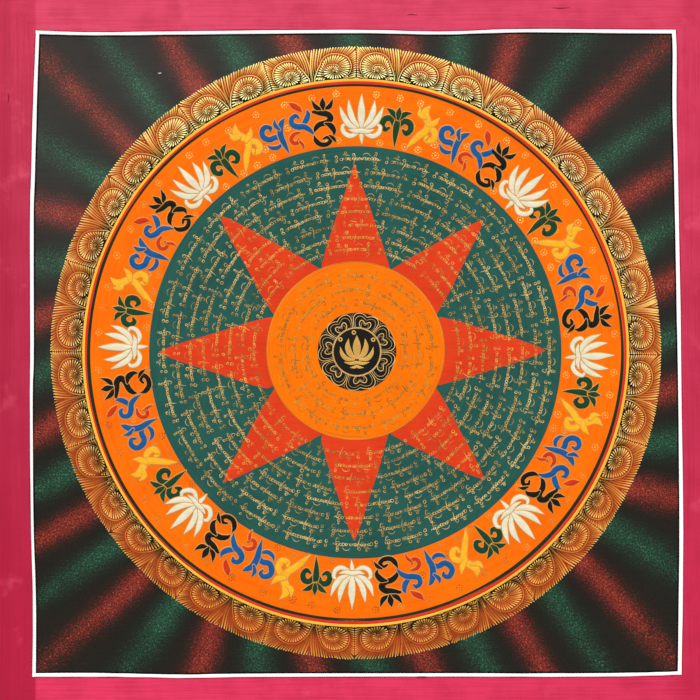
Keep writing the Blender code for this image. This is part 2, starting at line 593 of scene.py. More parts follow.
frameLine = {
    # x, y, width: how the hand-drawn line runs down each side
    "left": ((-225.2, 229.1, 2.4), (-227.5, 179.0, 2.8), (-229.0, 125.4, 2.8), (-229.8, 93.3, 2.7),
             (-229.7, 0.9, 2.6), (-230.2, -34.5, 2.1), (-229.5, -119.1, 1.9), (-228.1, -171.9, 2.2),
             (-227.8, -228.6, 2.5)),
    "right": ((224.5, 230.2, 2.8), (225.3, 210.5, 2.9), (225.3, 171.8, 2.9), (226.4, 125.4, 2.8),
              (228.1, 36.4, 2.8), (229.1, -34.5, 2.4), (230.1, -122.7, 2.8), (229.6, -175.4, 2.9),
              (228.2, -225.6, 2.8)),
    "top": ((-228.1, 225.8, 2.6), (-190.3, 225.1, 2.2), (-129.0, 225.7, 2.4), (-4.2, 226.8, 2.4),
            (60.0, 225.8, 2.2), (120.6, 227.4, 2.5), (225.4, 226.5, 2.8)),
    "bottom": ((-226.0, -228.4, 2.6), (-180.0, -228.7, 2.7), (-146.0, -229.3, 2.4), (-119.0, -229.7, 2.5),
               (-69.0, -229.0, 2.5), (60.0, -228.6, 2.3), (130.0, -228.8, 2.5), (177.0, -228.5, 2.5),
               (214.0, -227.4, 2.4), (227.6, -226.6, 2.5)),
    "low": 0.02, "crown": 0.24, "overlap": 0.015,  # each side lies a little over the one before
    "endOut": 1.25, "unsteady": 0.05,
    # the thin lines beside it: half width, distance from the white, lowest place, crown
    "inner": (0.75, 0.35, 0.085, 0.03), "outer": (0.6, 0.15, 0.0, 0.04), "wobble": 0.16,
    "white": ((250, 250, 250), (224, 222, 220), {"Streak": 0.12, "Blotch": 0.12, "Roughness": 0.6}),
    "black": ((14, 14, 14), (8, 8, 8), {"Streak": 0.1, "Blotch": 0.1, "Roughness": 0.6}),
    "crimson": ((168, 22, 52), (130, 12, 38), {"Streak": 0.2, "Blotch": 0.3}),
}


def lineAt(side, place):
    rows = np.asarray(frameLine[side])
    key, value = (1, 0) if side in ("left", "right") else (0, 1)
    rows = rows[np.argsort(rows[:, key])]
    return np.interp(place, rows[:, key], rows[:, value])


darkField = {
    "cells": 116, "height": 0.08, "low": -227.0, "tall": 454.5,
    "ground": linear(34, 32, 28), "deep": linear(24, 24, 22), "speck": linear(96, 92, 84),
    "paintedSheen": (0.024, 0.023, 0.0225, 1.0),  # painted sheen: paler towards the top, most on the left
    "green": linear(34, 86, 64), "greenFleck": linear(78, 130, 98),
    "red": linear(164, 52, 42), "redFleck": linear(208, 94, 72),
    "count": 40, "first": 2.67, "greenHalf": 17.4, "redHalf": 15.4,
    # the rays were laid by eye: times round, degrees off, lag; and how that grows outward
    "sway": ((1, 0.44, -105.0), (2, 0.91, 136.0), (4, 1.87, 29.0), (5, 0.26, 166.0)),
    "flare": ((0, 2.3, 90.0), (1, 0.25, 16.0), (4, 3.24, 102.0)),
    "flareFrom": 235.0, "flareOver": 50.0,
    "strokes": {"Blotch Size": 45.0, "Streak Length": 50.0, "Streak Width": 1.5, "Streak": 0.10, "Blotch": 0.14,
                "Roughness": 0.66, "Relief": 0.03},
    "weave": 0.03,
}


def swings(tree, turn, table):
    total = 0.0
    for count, size, lag in table:
        angle = timesPlus(tree, turn, float(count), math.radians(lag))
        total = timesPlus(tree, maths(tree, "SINE", angle), math.radians(size), total)
    return total


def rayStrength(tree, place, reach):
    # how strongly a ray's colour lies at a place, how near the ray's middle that is, and whether
    # the ray is a red one
    kit = darkField
    split = splitOf(tree, place)
    turn = maths(tree, "ARCTAN2", split[1], split[0])
    outward = maths(tree, "DIVIDE", maths(tree, "SUBTRACT", reach, kit["flareFrom"]), kit["flareOver"])
    off = timesPlus(tree, swings(tree, turn, kit["flare"]), outward, swings(tree, turn, kit["sway"]))
    straight = maths(tree, "SUBTRACT", maths(tree, "SUBTRACT", turn, off), math.radians(kit["first"]))
    step = 2 * math.pi / kit["count"]
    count = maths(tree, "DIVIDE", straight, step)
    nearest = maths(tree, "ROUND", count)
    odd = maths(tree, "PINGPONG", nearest, 1.0)
    away = times(tree, maths(tree, "ABSOLUTE", maths(tree, "SUBTRACT", count, nearest)), step)
    away = times(tree, away, timesPlus(tree, reach, 0.6, 94.0))
    away = nudge(tree, away, noise(tree, place, 0.06, 3.0), 5.0)
    width = mixValue(tree, odd, kit["greenHalf"], kit["redHalf"])
    width = times(tree, width, remap(tree, reach, 220.0, 310.0, 1.05, 0.86))
    soft = maths(tree, "POWER", remap(tree, maths(tree, "DIVIDE", away, width), 1.12, -0.05), 1.05)
    fade = remap(tree, reach, 215.0, 315.0, 1.15, 0.5, "LINEAR")
    fade = times(tree, fade, remap(tree, noise(tree, place, 0.035, 2.0), 0.3, 0.7, 0.78, 1.08))
    return times(tree, soft, fade), soft, odd


def darkFieldMaterial():
    kit = darkField
    material, tree, shader = startMaterial("darkField", 0.05)
    place = placeInMm(tree)
    strength, soft, odd = rayStrength(tree, place, reachOf(tree, place))
    # a dry brush stippled the colour on: the cloth's grain breaks it into fine dots
    stipple = remap(tree, timesPlus(tree, strength, 0.18, noise(tree, place, 0.95, 1.0, 0.6)), 0.55, 0.70)
    stipple = times(tree, stipple, timesPlus(tree, strength, 1.2, 0.12, True))
    share = timesPlus(tree, stipple, 0.51, times(tree, strength, 0.12), True)
    colour = mixColour(tree, share, kit["ground"], mixColour(tree, odd, kit["green"], kit["red"]))
    dots = remap(tree, timesPlus(tree, strength, 0.12, noise(tree, place, 0.8, 2.0, 0.7)), 0.66, 0.74)
    dots = times(tree, dots, times(tree, soft, 0.62))
    colour = mixColour(tree, dots, colour, mixColour(tree, odd, kit["greenFleck"], kit["redFleck"]))
    split = splitOf(tree, place)
    # painted sheen: a pale glare added over the ground, towards the top and the left
    paintedSheen = times(tree, remap(tree, split[1], -110.0, 190.0), remap(tree, split[0], -190.0, 190.0, 1.0, 0.45))
    colour = mixColour(tree, paintedSheen, colour, kit["paintedSheen"], "ADD")
    laid = placeGroup(tree, handPaint, {"Colour": colour, "Deep Colour": kit["deep"], **kit["strokes"]})
    speck = remap(tree, noise(tree, place, 0.8, 4.0, 0.8), 0.69, 0.75, 0.0, 0.3)
    wire(tree, shader, mixColour(tree, speck, laid["Colour"], kit["speck"]), laid["Roughness"],
         [laid["Height"], threadsIn(tree, kit["weave"])["Height"], times(tree, dots, 0.02)])
    return material


def makeDarkField():
    kit = darkField
    lines = kit["cells"] + 1
    u, v = np.meshgrid(np.linspace(0, 1, lines), np.linspace(0, 1, lines))
    y = kit["low"] + kit["tall"] * v
    x = lineAt("left", y) + (lineAt("right", y) - lineAt("left", y)) * u
    y = lineAt("bottom", x) + (lineAt("top", x) - lineAt("bottom", x)) * v
    paint = newPaint()
    addPoints(paint, np.stack([x, y, np.full(x.shape, kit["height"])], -1).reshape(-1, 3), 0.5)
    addFaces(paint, gridFaces(np.arange(lines ** 2).reshape(lines, lines)))
    lay("darkField", paint, darkFieldMaterial())


def makeFrameLine():
    kit = frameLine
    line, inside, outside = newPaint(), newPaint(), newPaint()
    for order, side in enumerate(("bottom", "left", "top", "right")):
        rows = np.asarray(kit[side], float)
        rows = np.column_stack([rows[:, :2], rows[:, 2] / 2])
        # each side ends square on the outer edge of the next ones
        along, ends = (1, ("bottom", "top")) if side in ("left", "right") else (0, ("left", "right"))
        for row in (rows[0], rows[-1]):
            far = int(row[along] > 0)
            row[along] = lineAt(ends[far], row[1 - along]) + (kit["endOut"] if far else -kit["endOut"])
        run = smoothRun(rows, 290)
        run[4:-4, 2] += waver(np.linspace(0, 12.0, len(run) - 8), kit["unsteady"])
        crown = kit["crown"] + kit["overlap"] * order
        addStroke(line, run[:, :2], run[:, 2], kit["low"], crown, profile=broadMark)
        plain = smoothRun(rows, 220)
        outward = np.array({"left": (-1, 0), "right": (1, 0), "top": (0, 1), "bottom": (0, -1)}[side])
        wobble = waver(np.linspace(0, 14.0, 220), kit["wobble"])
        for paint, key, way, shift in ((inside, "inner", -1, wobble), (outside, "outer", 1, wobble[::-1])):
            half, gap, low, crown = kit[key]
            beside = plain[:, :2] + way * outward * (plain[:, 2:] + gap + shift[:, None])
            addStroke(paint, beside, half, low, crown, profile=broadMark)
    lay("frameLine", line, paintMaterial("chalkWhite", *kit["white"]))
    lay("frameInnerLine", inside, paintMaterial("inkBlack", *kit["black"]))
    lay("frameOuterLine", outside, paintMaterial("deepCrimson", *kit["crimson"]))


makeDarkField()
makeFrameLine()
print("mandala canvas: dark field and frame line made")


# ---- the gold ring of shells

goldRing = {
    "outer": 216.9, "inner": 193.9, "eye": 200.1, "cells": 40, "centre": (-0.36, -0.7), "oval": -0.29,
    "uneven": 0.42,
    # one shell: degrees round the eye, from the stem's foot over the top and inward; distance from the
    # eye; half width of its gold outline; how far inside it the strokes begin
    "spiral": ((205, 15.0, 0.50, 1.25), (180, 13.3, 0.50, 1.25), (150, 12.3, 0.50, 1.25),
               (125, 12.1, 0.48, 1.25), (100, 11.9, 0.48, 1.25), (75, 11.9, 0.46, 1.25),
               (55, 12.4, 0.44, 1.2), (40, 12.7, 0.42, 1.15), (20, 12.4, 0.38, 1.1),
               (0, 11.7, 0.32, 1.0), (-20, 10.3, 0.24, 0.8), (-40, 8.2, 0.16, 0.6),
               (-75, 6.2, 0.12, 0.5), (-120, 6.6, 0.12, 0.5), (-150, 8.0, 0.12, 0.5), (-180, 8.4, 0.14, 0.6),
               (-210, 7.4, 0.26, 0.8), (-240, 6.4, 0.38, 1.0), (-270, 5.8, 0.40, 1.05), (-300, 6.0, 0.38, 1.0),
               (-330, 5.6, 0.28, 0.8), (-360, 4.7, 0.20, 0.6), (-420, 2.7, 0.16, 0.5), (-480, 1.9, 0.14, 0.4),
               (-560, 1.5, 0.12, 0.4), (-640, 0.8, 0.10, 0.4)),
    "goldTurns": ((205, -45), (-185, -640)),  # the shell's line has no gold where its strokes end below
    "innerFrom": -150.0,  # past this the spiral is the shell's own inner coil
    # no two shells are alike: ranges of their size, lean, tightness of coil and slope of stem
    "sizes": (0.94, 1.0), "leans": (-0.12, 0.19), "coils": (0.74, 1.0), "hollow": 0.13,
    "pitch": 1.85, "strokeHalf": 0.47, "fanPitch": 1.75, "spinePitch": 1.6, "step": 0.4,
    # degrees past the stem's foot, and how far a fan stroke turns outward from running round the shell
    "lean": ((0, 0), (25, 4), (60, 22), (85, 40), (115, 56), (145, 74), (175, 94), (205, 112), (235, 130),
             (260, 142)),
    # strokes in the throat beside the stem: degrees, where they start and end
    "throat": ((202, 13.8, 9.4), (207, 12.6, 9.2), (212, 11.2, 8.8), (218, 9.9, 8.0)),
    "corner": ((9.9, -4.4), (8.4, -5.0), (6.8, -5.6)),  # one stroke between the shell and the line below it
    # how the width and the tone of a stroke change along it: share of the way, value
    "fanWidth": ((0, 0.6), (0.1, 1.0), (0.5, 0.9), (1, 0.5)),
    "fanTone": ((0, 1.0), (0.15, 0.72), (0.45, 0.40), (1, 0.2)),
    "shellWidth": ((0, 0.64), (0.15, 0.98), (0.55, 0.6), (1, 0.28)),
    "shellTone": ((0, 1.0), (0.25, 0.8), (0.6, 0.52), (1, 0.34)),
    "eyeDot": 0.85, "outlineShare": 0.74, "sheen": 0.2,  # painted sheen: the gold is paler round the top of the ring
    "low": 0.15, "crown": 0.10,
    # thin gold over the red-brown half looks orange, and over the black half olive
    "black": linear(18, 12, 8), "brown": linear(168, 62, 20),
    "rim": linear(112, 44, 18), "deep": linear(52, 20, 8),
    "strokes": {"Blotch Size": 9.0, "Round": 1.0, "Streak Width": 1.4, "Streak": 0.2, "Blotch": 0.3,
                "Roughness": 0.6, "Relief": 0.03},
    "weave": 0.02, "fleck": 0.35,
    "gold": {"Pale": (linear(255, 232, 162), linear(255, 224, 134)),
             "Rich": (linear(188, 138, 62), linear(216, 140, 58)),
             "Deep": (linear(84, 58, 22), linear(142, 68, 22))},
    # painted sheen and shade: paler gold round the top of the ring, and redder, darker gold round the foot
    "topWay": (-0.17, 0.98, 0.0), "footShadeTint": (1.0, 0.88, 0.66, 1.0), "sideTint": (0.99, 1.0, 1.0, 1.0),
    "topSheenTint": (1.08, 1.34, 1.42, 1.0),
}


def ringGroundMaterial():
    kit = goldRing
    material, tree, shader = startMaterial("ringGround", 0.06)
    place = placeInMm(tree)
    uneven = nudge(tree, reachOf(tree, place), noise(tree, place, 0.12, 3.0), 8.0)
    colour = mixColour(tree, remap(tree, uneven, 197.0, 205.0), kit["black"], kit["brown"])
    colour = mixColour(tree, remap(tree, uneven, 213.0, 217.5), colour, kit["rim"])
    laid = placeGroup(tree, handPaint, {"Colour": colour, "Deep Colour": kit["deep"], **kit["strokes"]})
    threads = threadsIn(tree, kit["weave"])
    wire(tree, shader, laid["Colour"], laid["Roughness"], [laid["Height"], threads["Height"]])
    return material


def ringGoldMaterial():
    kit = goldRing
    material, tree, shader = startMaterial("ringGold", 0.25, 0.15)
    place = placeInMm(tree)
    reach = reachOf(tree, place)
    upper = remap(tree, reach, 198.5, 206.0)
    mixed = {key: mixColour(tree, upper, low, high) for key, (low, high) in kit["gold"].items()}
    tone = addNode(tree, "Attribute", {}, attribute_name="tone")["Fac"]
    gold = placeGroup(tree, goldTone, {"Tone": tone, "Fleck": kit["fleck"], **mixed})
    # painted sheen and shade: the gold is tinted paler towards the top and redder and darker towards the foot
    facing = vectorMaths(tree, "DOT_PRODUCT", {0: place, 1: kit["topWay"]}, "Value")
    facing = maths(tree, "DIVIDE", facing, reach)
    tint = mixColour(tree, remap(tree, facing, -0.9, 0.4), kit["footShadeTint"], kit["sideTint"])
    tint = mixColour(tree, remap(tree, facing, 0.66, 1.0), tint, kit["topSheenTint"])
    colour = mixColour(tree, 1.0, gold["Colour"], tint, "MULTIPLY")
    wire(tree, shader, colour, gold["Roughness"], [gold["Height"]])
    return material


def spiralAt(turn, column=1):
    rows = np.asarray(goldRing["spiral"], float)[::-1]
    return np.interp(turn, rows[:, 0], rows[:, column])


def shellSize(size, bulge, slope):
    # one shell leans over its stem, the next one away from it, and some stems climb aslant from
    # the corner of the cell
    def share(turn):
        leaning = bulge * np.cos(np.radians(turn - 35.0)) * ease((turn + 90.0) / 60.0)
        hollow = np.exp(-(((turn - 152.0) / 28.0) ** 2)) - ease((turn - 178.0) / 25.0)
        return size * (1 + leaning - goldRing["hollow"] * slope * hollow)

    return share


def turnPast(s, t):
    # degrees round the eye, counted so that the lower left belongs to the stem's side
    turn = math.degrees(math.atan2(t, s))
    return turn if turn > goldRing["innerFrom"] else turn + 360.0


def sweep(s, t, half):
    # the way a fan stroke runs at a place outside the shell, towards its outer end
    turn = math.atan2(t, s)
    stemFoot = goldRing["spiral"][0][0]
    lean = math.radians(np.interp((stemFoot - math.degrees(turn)) % 360.0, *zip(*goldRing["lean"])))
    aheadS = math.sin(turn) * math.cos(lean) + math.cos(turn) * math.sin(lean)
    aheadT = -math.cos(turn) * math.cos(lean) + math.sin(turn) * math.sin(lean)
    aheadT += 0.4 * float(ease((t - 10.0) / 6.0))
    if aheadS < 0:
        # beside the stem the strokes run along it
        aheadS *= float(ease((s + half) / 4.0))
    size = math.hypot(aheadS, aheadT)
    return aheadS / size, aheadT / size


def fanSeeds(half, top, foot):
    # where fan strokes start: place, way (-1 inward, 1 outward), room kept to other strokes while it
    # runs, and room at its start
    seeds = [(s, top - dice.uniform(0, 0.6), -1, 0.62, 1.1)
             for s in np.arange(-half + 1.05, half - 0.3, goldRing["fanPitch"])]
    seeds += [(half - 0.4, t, -1, 0.66, 1.1) for t in np.arange(foot + 0.6, top - 1.6, goldRing["spinePitch"])]
    seeds += [(-half + 0.55 + 0.85 * k, foot + 0.1, 1, 0.72, 0.75) for k in range(4)]
    seeds += [(-half + 0.6, t, 1, 0.7, 0.95) for t in np.arange(foot + 2.0, top - 3.0, 1.6)]
    seeds += [(dice.uniform(-half, half), dice.uniform(foot, top), way, 0.66, 0.98) for way in (-1, 1) * 60]
    return seeds


def fanRuns(size, half, top, foot):
    # strokes between the shell and the edges of its cell, each from its outer end inward
    runs, taken = [], np.empty((0, 2))

    def near(s, t):
        return np.min(np.hypot(taken[:, 0] - s, taken[:, 1] - t)) if len(taken) else 99.0

    def outside(s, t, spare):
        turn = turnPast(s, t)
        return math.hypot(s, t) > spiralAt(turn) * size(turn) + spare

    def follow(s, t, ahead, room):
        run = [(s, t)]
        for _ in range(80):
            stepS, stepT = sweep(s, t, half)
            s, t = s + ahead * goldRing["step"] * stepS, t + ahead * goldRing["step"] * stepT
            if not outside(s, t, 0.85) or abs(s) > half - 0.15 or t > top or t < foot or near(s, t) < room:
                break
            run.append((s, t))
        return run

    for s, t, way, room, clear in fanSeeds(half, top, foot):
        s = s + dice.uniform(-0.15, 0.15)
        if not outside(s, t, 0.8) or near(s, t) < clear:
            continue
        run = np.array(follow(s, t, way, room))
        if len(run) < 4:
            continue
        run = run[::-1] if way > 0 else run
        runs.append((run, 0.8 if way > 0 else 1.0))
        taken = np.vstack([taken, run])
    runs.append((np.array(goldRing["corner"]), 0.8))
    for turn, start, end in goldRing["throat"]:
        runs.append((unitAt(math.radians(turn)) * np.linspace(start, end, 4)[:, None] + [0.0, 0.3], 0.9))
    return runs


def shellRuns(size, tightness):
    # the short strokes across each turn of the shell, from its outer line inward
    runs = []
    turn = 198.0
    while turn > -480.0:
        inside = float(ease((goldRing["innerFrom"] - turn) / 60.0))
        outer = spiralAt(turn) * size(turn) * (1 + (tightness - 1) * inside)
        inner = spiralAt(turn - 360.0) * size(turn - 360.0) * tightness
        start, end = outer - spiralAt(turn, 3), inner + 0.55 + spiralAt(turn - 360.0, 2)
        if turn < -280.0:
            end = max(0.8, inner + 0.3)
        if turn > 165.0:
            end = max(end, start - 4.8)
        if start - end > 0.8:
            lead = 8.0 + 7.0 * dice.uniform()
            shares = np.linspace(0, 1, 5)
            reach = start + (end - start) * shares
            runs.append((polar(reach, np.radians(turn + lead * shares ** 1.3)), 1.1 - 0.24 * inside))
        pitch = goldRing["pitch"] * (1.0 - 0.12 * inside) * dice.uniform(0.9, 1.1)
        turn -= math.degrees(pitch / max(outer - 0.8, 1.3))
    return runs


def makeShellCell(fans, shells, outlines, middle, stretch, way):
    # one shell and the fans round it; every second one is a mirror image
    kit = goldRing
    low, crown = kit["low"], kit["crown"]
    size = shellSize(dice.uniform(*kit["sizes"]), dice.uniform(*kit["leans"]), dice.uniform(0, 1))
    tightness = dice.uniform(*kit["coils"])
    # painted sheen: a cell's gold tone is raised the nearer the cell lies to the top
    sheen = kit["sheen"] * math.sin(math.radians(middle + 20.0))

    def place(points):
        turn = np.radians(middle + way * np.degrees(points[:, 0] / kit["eye"]) * stretch)
        return polar(kit["eye"] + points[:, 1] + kit["oval"] * np.cos(2 * turn), turn, kit["centre"])

    def along(key, shares):
        return np.interp(shares, *zip(*kit[key]))

    half = math.radians(180.0 / kit["cells"]) * kit["eye"]
    for run, share in fanRuns(size, half, kit["outer"] - kit["eye"], kit["inner"] - kit["eye"] - 0.2):
        run = smoothRun(run, 4 if len(run) < 9 else 7)
        shares = np.linspace(0, 1, len(run))
        width = kit["strokeHalf"] * along("fanWidth", shares) * dice.uniform(0.9, 1.1)
        tone = along("fanTone", shares) + dice.uniform(-0.12, 0.06) + sheen
        addStroke(fans, place(run), width * share, low, crown, tone)
    for run, share in shellRuns(size, tightness):
        shares = np.linspace(0, 1, len(run))
        width = along("shellWidth", shares) * dice.uniform(0.88, 1.08)
        tone = along("shellTone", shares) + dice.uniform(-0.1, 0.05) + sheen
        addStroke(shells, place(run), kit["strokeHalf"] * share * width, low, crown, tone)
    addDot(shells, place(np.zeros((1, 2)))[0], kit["eyeDot"], low, crown, 0.35 + sheen, 7)
    for begin, finish in kit["goldTurns"]:
        turns = np.arange(begin, finish, -11.0)
        inside = ease((kit["innerFrom"] - turns) / 60.0)
        path = polar(spiralAt(turns) * size(turns) * (1 + (tightness - 1) * inside), np.radians(turns))
        path[:, 1] = np.maximum(path[:, 1], kit["inner"] - kit["eye"] + 0.1)
        tone = 0.44 + 0.1 * np.sin(np.radians(turns * 2 + 40)) + sheen
        addStroke(outlines, place(path), kit["outlineShare"] * spiralAt(turns, 2), low + 0.01, crown, tone)


def makeGoldRing():
    kit = goldRing
    ground, fans, shells, outlines = newPaint(), newPaint(), newPaint(), newPaint()
    bandFilm(ground, kit["outer"] - 1.3, kit["inner"] - 2.6, 0.085, 0.14, 480, 4)
    lay("ringGround", ground, ringGroundMaterial())
    cells = kit["cells"]
    cellTurn = 360.0 / cells
    borders = cellTurn * np.arange(cells) + dice.uniform(-1, 1, cells) * kit["uneven"]
    borders = np.append(borders, borders[0] + 360.0)
    for cell, (first, last) in enumerate(zip(borders, borders[1:])):
        way = -1.0 if cell % 2 == 0 else 1.0
        makeShellCell(fans, shells, outlines, (first + last) / 2, (last - first) / cellTurn, way)
    gold = ringGoldMaterial()
    lay("ringFans", fans, gold)
    lay("ringShells", shells, gold)
    lay("ringOutlines", outlines, gold)


makeGoldRing()
print("mandala canvas: gold ring made")


# ---- lines and grounds of the round

rounds = {
    # the circles were drawn by hand: their middles lie a little apart, and they are a little oval
    "yellowLine": {"middle": 193.0, "half": 0.92, "centre": (-0.40, -0.80), "oval": (-0.24, 0.0), "low": 0.16,
                   "crown": 0.10},
    "redLine": {"middle": 191.1, "half": 1.0, "centre": (-0.55, -0.68), "oval": (-0.08, 0.0), "low": 0.15,
                "crown": 0.07},
    # this line is wider in places: degrees round, spread, how much
    "greenLine": {"inner": 188.5, "half": 0.87, "leastHalf": 0.45, "unsteady": 0.17,
                  "swellsIn": ((176, 0.42, 0.42), (325, 0.7, 0.16)),
                  "swellsOut": ((228, 0.45, 0.38), (330, 0.5, 0.2)),
                  "centre": (-0.85, -0.40), "oval": (-0.02, 0.11), "low": 0.158, "crown": 0.08},
    "orangeBand": {"outer": 190.2, "inner": 145.0, "low": 0.10, "top": 0.15},
    # a disc's outline wavers by "unsteady", in so many waves
    "tealDisc": {"radius": 146.35, "centre": (-0.87, -0.42), "low": 0.12, "top": 0.18, "unsteady": 0.18,
                 "waves": 8, "count": 360, "steps": 14},
    # one arm of the star: distance from the middle, half width
    "star": {"arm": ((56.0, 24.4), (64.0, 22.2), (70.0, 20.75), (76.0, 19.15), (84.0, 16.75), (94.0, 13.65),
                     (102.0, 11.3), (110.0, 8.9), (118.0, 6.4), (124.0, 4.4), (130.0, 2.2), (134.4, 0.3)),
             # each arm, from the right round by the top: how much longer it is, its width, how far its foot
             # and its tip lie aside, and how much further its point runs out
             "arms": ((0.4, 1.03, 0.8, 0.9, -1.3), (-4.4, 0.96, 1.05, 2.5, -0.6),
                      (-5.3, 1.045, 0.8, 1.35, 3.6), (2.9, 0.99, -0.15, 0.0, -1.3),
                      (5.5, 1.12, 1.1, 0.25, -0.1), (-1.9, 0.99, 0.6, -1.35, -1.0),
                      (-1.4, 1.03, -1.8, -1.6, 0.6), (-6.1, 0.97, -1.15, 0.0, -0.9)),
             "foot": 58.0, "length": 76.0, "pointShare": 0.1, "rows": 28, "unsteady": 0.16,
             "low": 0.18, "top": 0.23},
    "centreDisc": {"radius": 62.8, "centre": (-0.75, 0.75), "low": 0.23, "top": 0.29, "unsteady": 0.12,
                   "waves": 6, "count": 240, "steps": 8},
    "medallion": {"radius": 27.9, "centre": (0.3, 0.0), "low": 0.29, "top": 0.34, "unsteady": 0.12,
                  "waves": 9, "count": 140, "steps": 5, "rim": 0.3},
}

# colour, deeper colour, and how the brush laid it
roundPaints = {
    "lineYellow": ((247, 189, 62), (217, 141, 36), {
        "Round": 1.0, "Streak": 0.3, "Blotch": 0.2, "Streak Width": 0.8}),
    "lineRed": ((218, 56, 36), (184, 32, 26), {"Round": 1.0, "Streak": 0.3, "Blotch": 0.3}),
    "lineGreen": ((24, 52, 32), (14, 30, 20), {"Round": 1.0, "Streak": 0.3, "Blotch": 0.3}),
    "bandOrange": ((245, 112, 3), (231, 93, 2), {
        "Round": 1.0, "Streak": 0.45, "Blotch": 0.4, "Roughness": 0.6, "Relief": 0.04, "Streak Width": 2.2,
        "Blotch Size": 36.0}),
    "discTeal": ((38, 88, 79), (28, 70, 65), {
        "Round": 1.0, "Streak": 0.35, "Blotch": 0.4, "Roughness": 0.62, "Relief": 0.03, "Streak Width": 1.8,
        "Blotch Size": 34.0}),
    "starRed": ((217, 62, 26), (197, 50, 22), {
        "Streak": 0.35, "Blotch": 0.5, "Roughness": 0.58, "Relief": 0.03, "Blotch Size": 26.0}),
    "centreOrange": ((245, 117, 0), (234, 102, 0), {
        "Round": 1.0, "Streak": 0.5, "Blotch": 0.35, "Roughness": 0.55, "Relief": 0.05, "Streak Width": 1.5,
        "Blotch Size": 22.0}),
    "medallionBlack": ((31, 29, 25), (18, 17, 15), {
        "Round": 1.0, "Streak": 0.3, "Blotch": 0.3, "Roughness": 0.6, "Blotch Size": 8.0, "Streak Width": 0.8}),
}


def roundPaint(name):
    return paintMaterial(name, *roundPaints[name])


def ovalled(turns, oval):
    return oval[0] * np.cos(2 * turns) + oval[1] * np.sin(2 * turns)


def drawnCircle(name, material, unsteady=0.12, count=420):
    kit = rounds[name]
    paint = newPaint()
    turns = turnsOf(count)
    radius = kit["middle"] + waver(turns, unsteady, 9) + ovalled(turns, kit["oval"])
    half = kit["half"] + waver(turns, unsteady * 0.6, 9)
    run = polar(radius, turns, kit["centre"])
    addStroke(paint, run, half, kit["low"], kit["crown"], profile=broadMark, closed=True)
    lay(name, paint, material)


def swelling(turns, swells):
    total = 0.0
    for at, over, size in swells:
        off = (turns - math.radians(at) + math.pi) % (2 * math.pi) - math.pi
        total = total + size * np.exp(-(off / over) ** 2)
    return total


def makeGreenLine():
    kit = rounds["greenLine"]
    turns = turnsOf(480)
    inward, outward = swelling(turns, kit["swellsIn"]), swelling(turns, kit["swellsOut"])
    half = np.maximum(kit["half"] + inward + outward + waver(turns, kit["unsteady"], 14), kit["leastHalf"])
    radius = kit["inner"] + half + ovalled(turns, kit["oval"]) - 2 * inward
    paint = newPaint()
    run = polar(radius, turns, kit["centre"])
    addStroke(paint, run, half, kit["low"], kit["crown"], profile=broadMark, closed=True)
    lay("greenLine", paint, roundPaint("lineGreen"))


def drawnDisc(name, material):
    kit = rounds[name]
    turns = turnsOf(kit["count"])
    outline = polar(kit["radius"] + waver(turns, kit["unsteady"], kit["waves"]), turns, kit["centre"])
    paint = newPaint()
    discFilm(paint, outline, kit["low"], kit["top"], kit["steps"], kit.get("rim", 0.35), kit["centre"])
    lay(name, paint, material)


def starArm(longer, wider, foot, lean, point):
    # distance from the middle, half width, and how far the arm's own middle lies aside
    kit = rounds["star"]
    ahead, half = smoothRun(kit["arm"], kit["rows"]).T
    grown = (ahead - kit["foot"]) / kit["length"]
    nearTip = ease((grown - 1 + kit["pointShare"]) / kit["pointShare"])
    ahead = ahead + longer * grown + point * nearTip
    return np.stack([ahead, half * wider, foot * (1 - grown) + lean * grown], 1)


starArms = [starArm(*arm) for arm in rounds["star"]["arms"]]


def starOutline():
    # the edges are drawn by hand, so they waver a little, and neighbours meet at the foot
    edges = []
    shares = np.linspace(0, 1, rounds["star"]["rows"])
    for number, arm in enumerate(starArms):
        axis = math.radians(45.0 * number)
        ahead, aside = unitAt(axis), np.array([-math.sin(axis), math.cos(axis)])
        for side, rows in ((-1, arm), (1, arm[::-1])):
            wave = np.sin(shares * 11 + dice.uniform(0, 6)) * np.sin(math.pi * shares)
            meeting = rows[:, 0] * math.tan(math.radians(22.5))
            half = rows[:, 1] + rounds["star"]["unsteady"] * wave
            across = np.clip(rows[:, 2] + side * half, -meeting, meeting)
            edges.append(rows[:, :1] * ahead + across[:, None] * aside)
    return np.vstack(edges)


def makeRounds():
    kit = rounds["orangeBand"]
    band = newPaint()
    bandFilm(band, kit["outer"], kit["inner"], kit["low"], kit["top"], 480, 6)
    lay("orangeBand", band, roundPaint("bandOrange"))
    drawnCircle("redLine", roundPaint("lineRed"))
    drawnCircle("yellowLine", roundPaint("lineYellow"))
    makeGreenLine()
    drawnDisc("tealDisc", roundPaint("discTeal"))
    kit = rounds["star"]
    star = newPaint()
    discFilm(star, starOutline(), kit["low"], kit["top"], 9, 0.4)
    lay("star", star, roundPaint("starRed"))
    drawnDisc("centreDisc", roundPaint("centreOrange"))


makeRounds()
print("mandala canvas: grounds and lines made")


# ---- rows of small gold garland marks

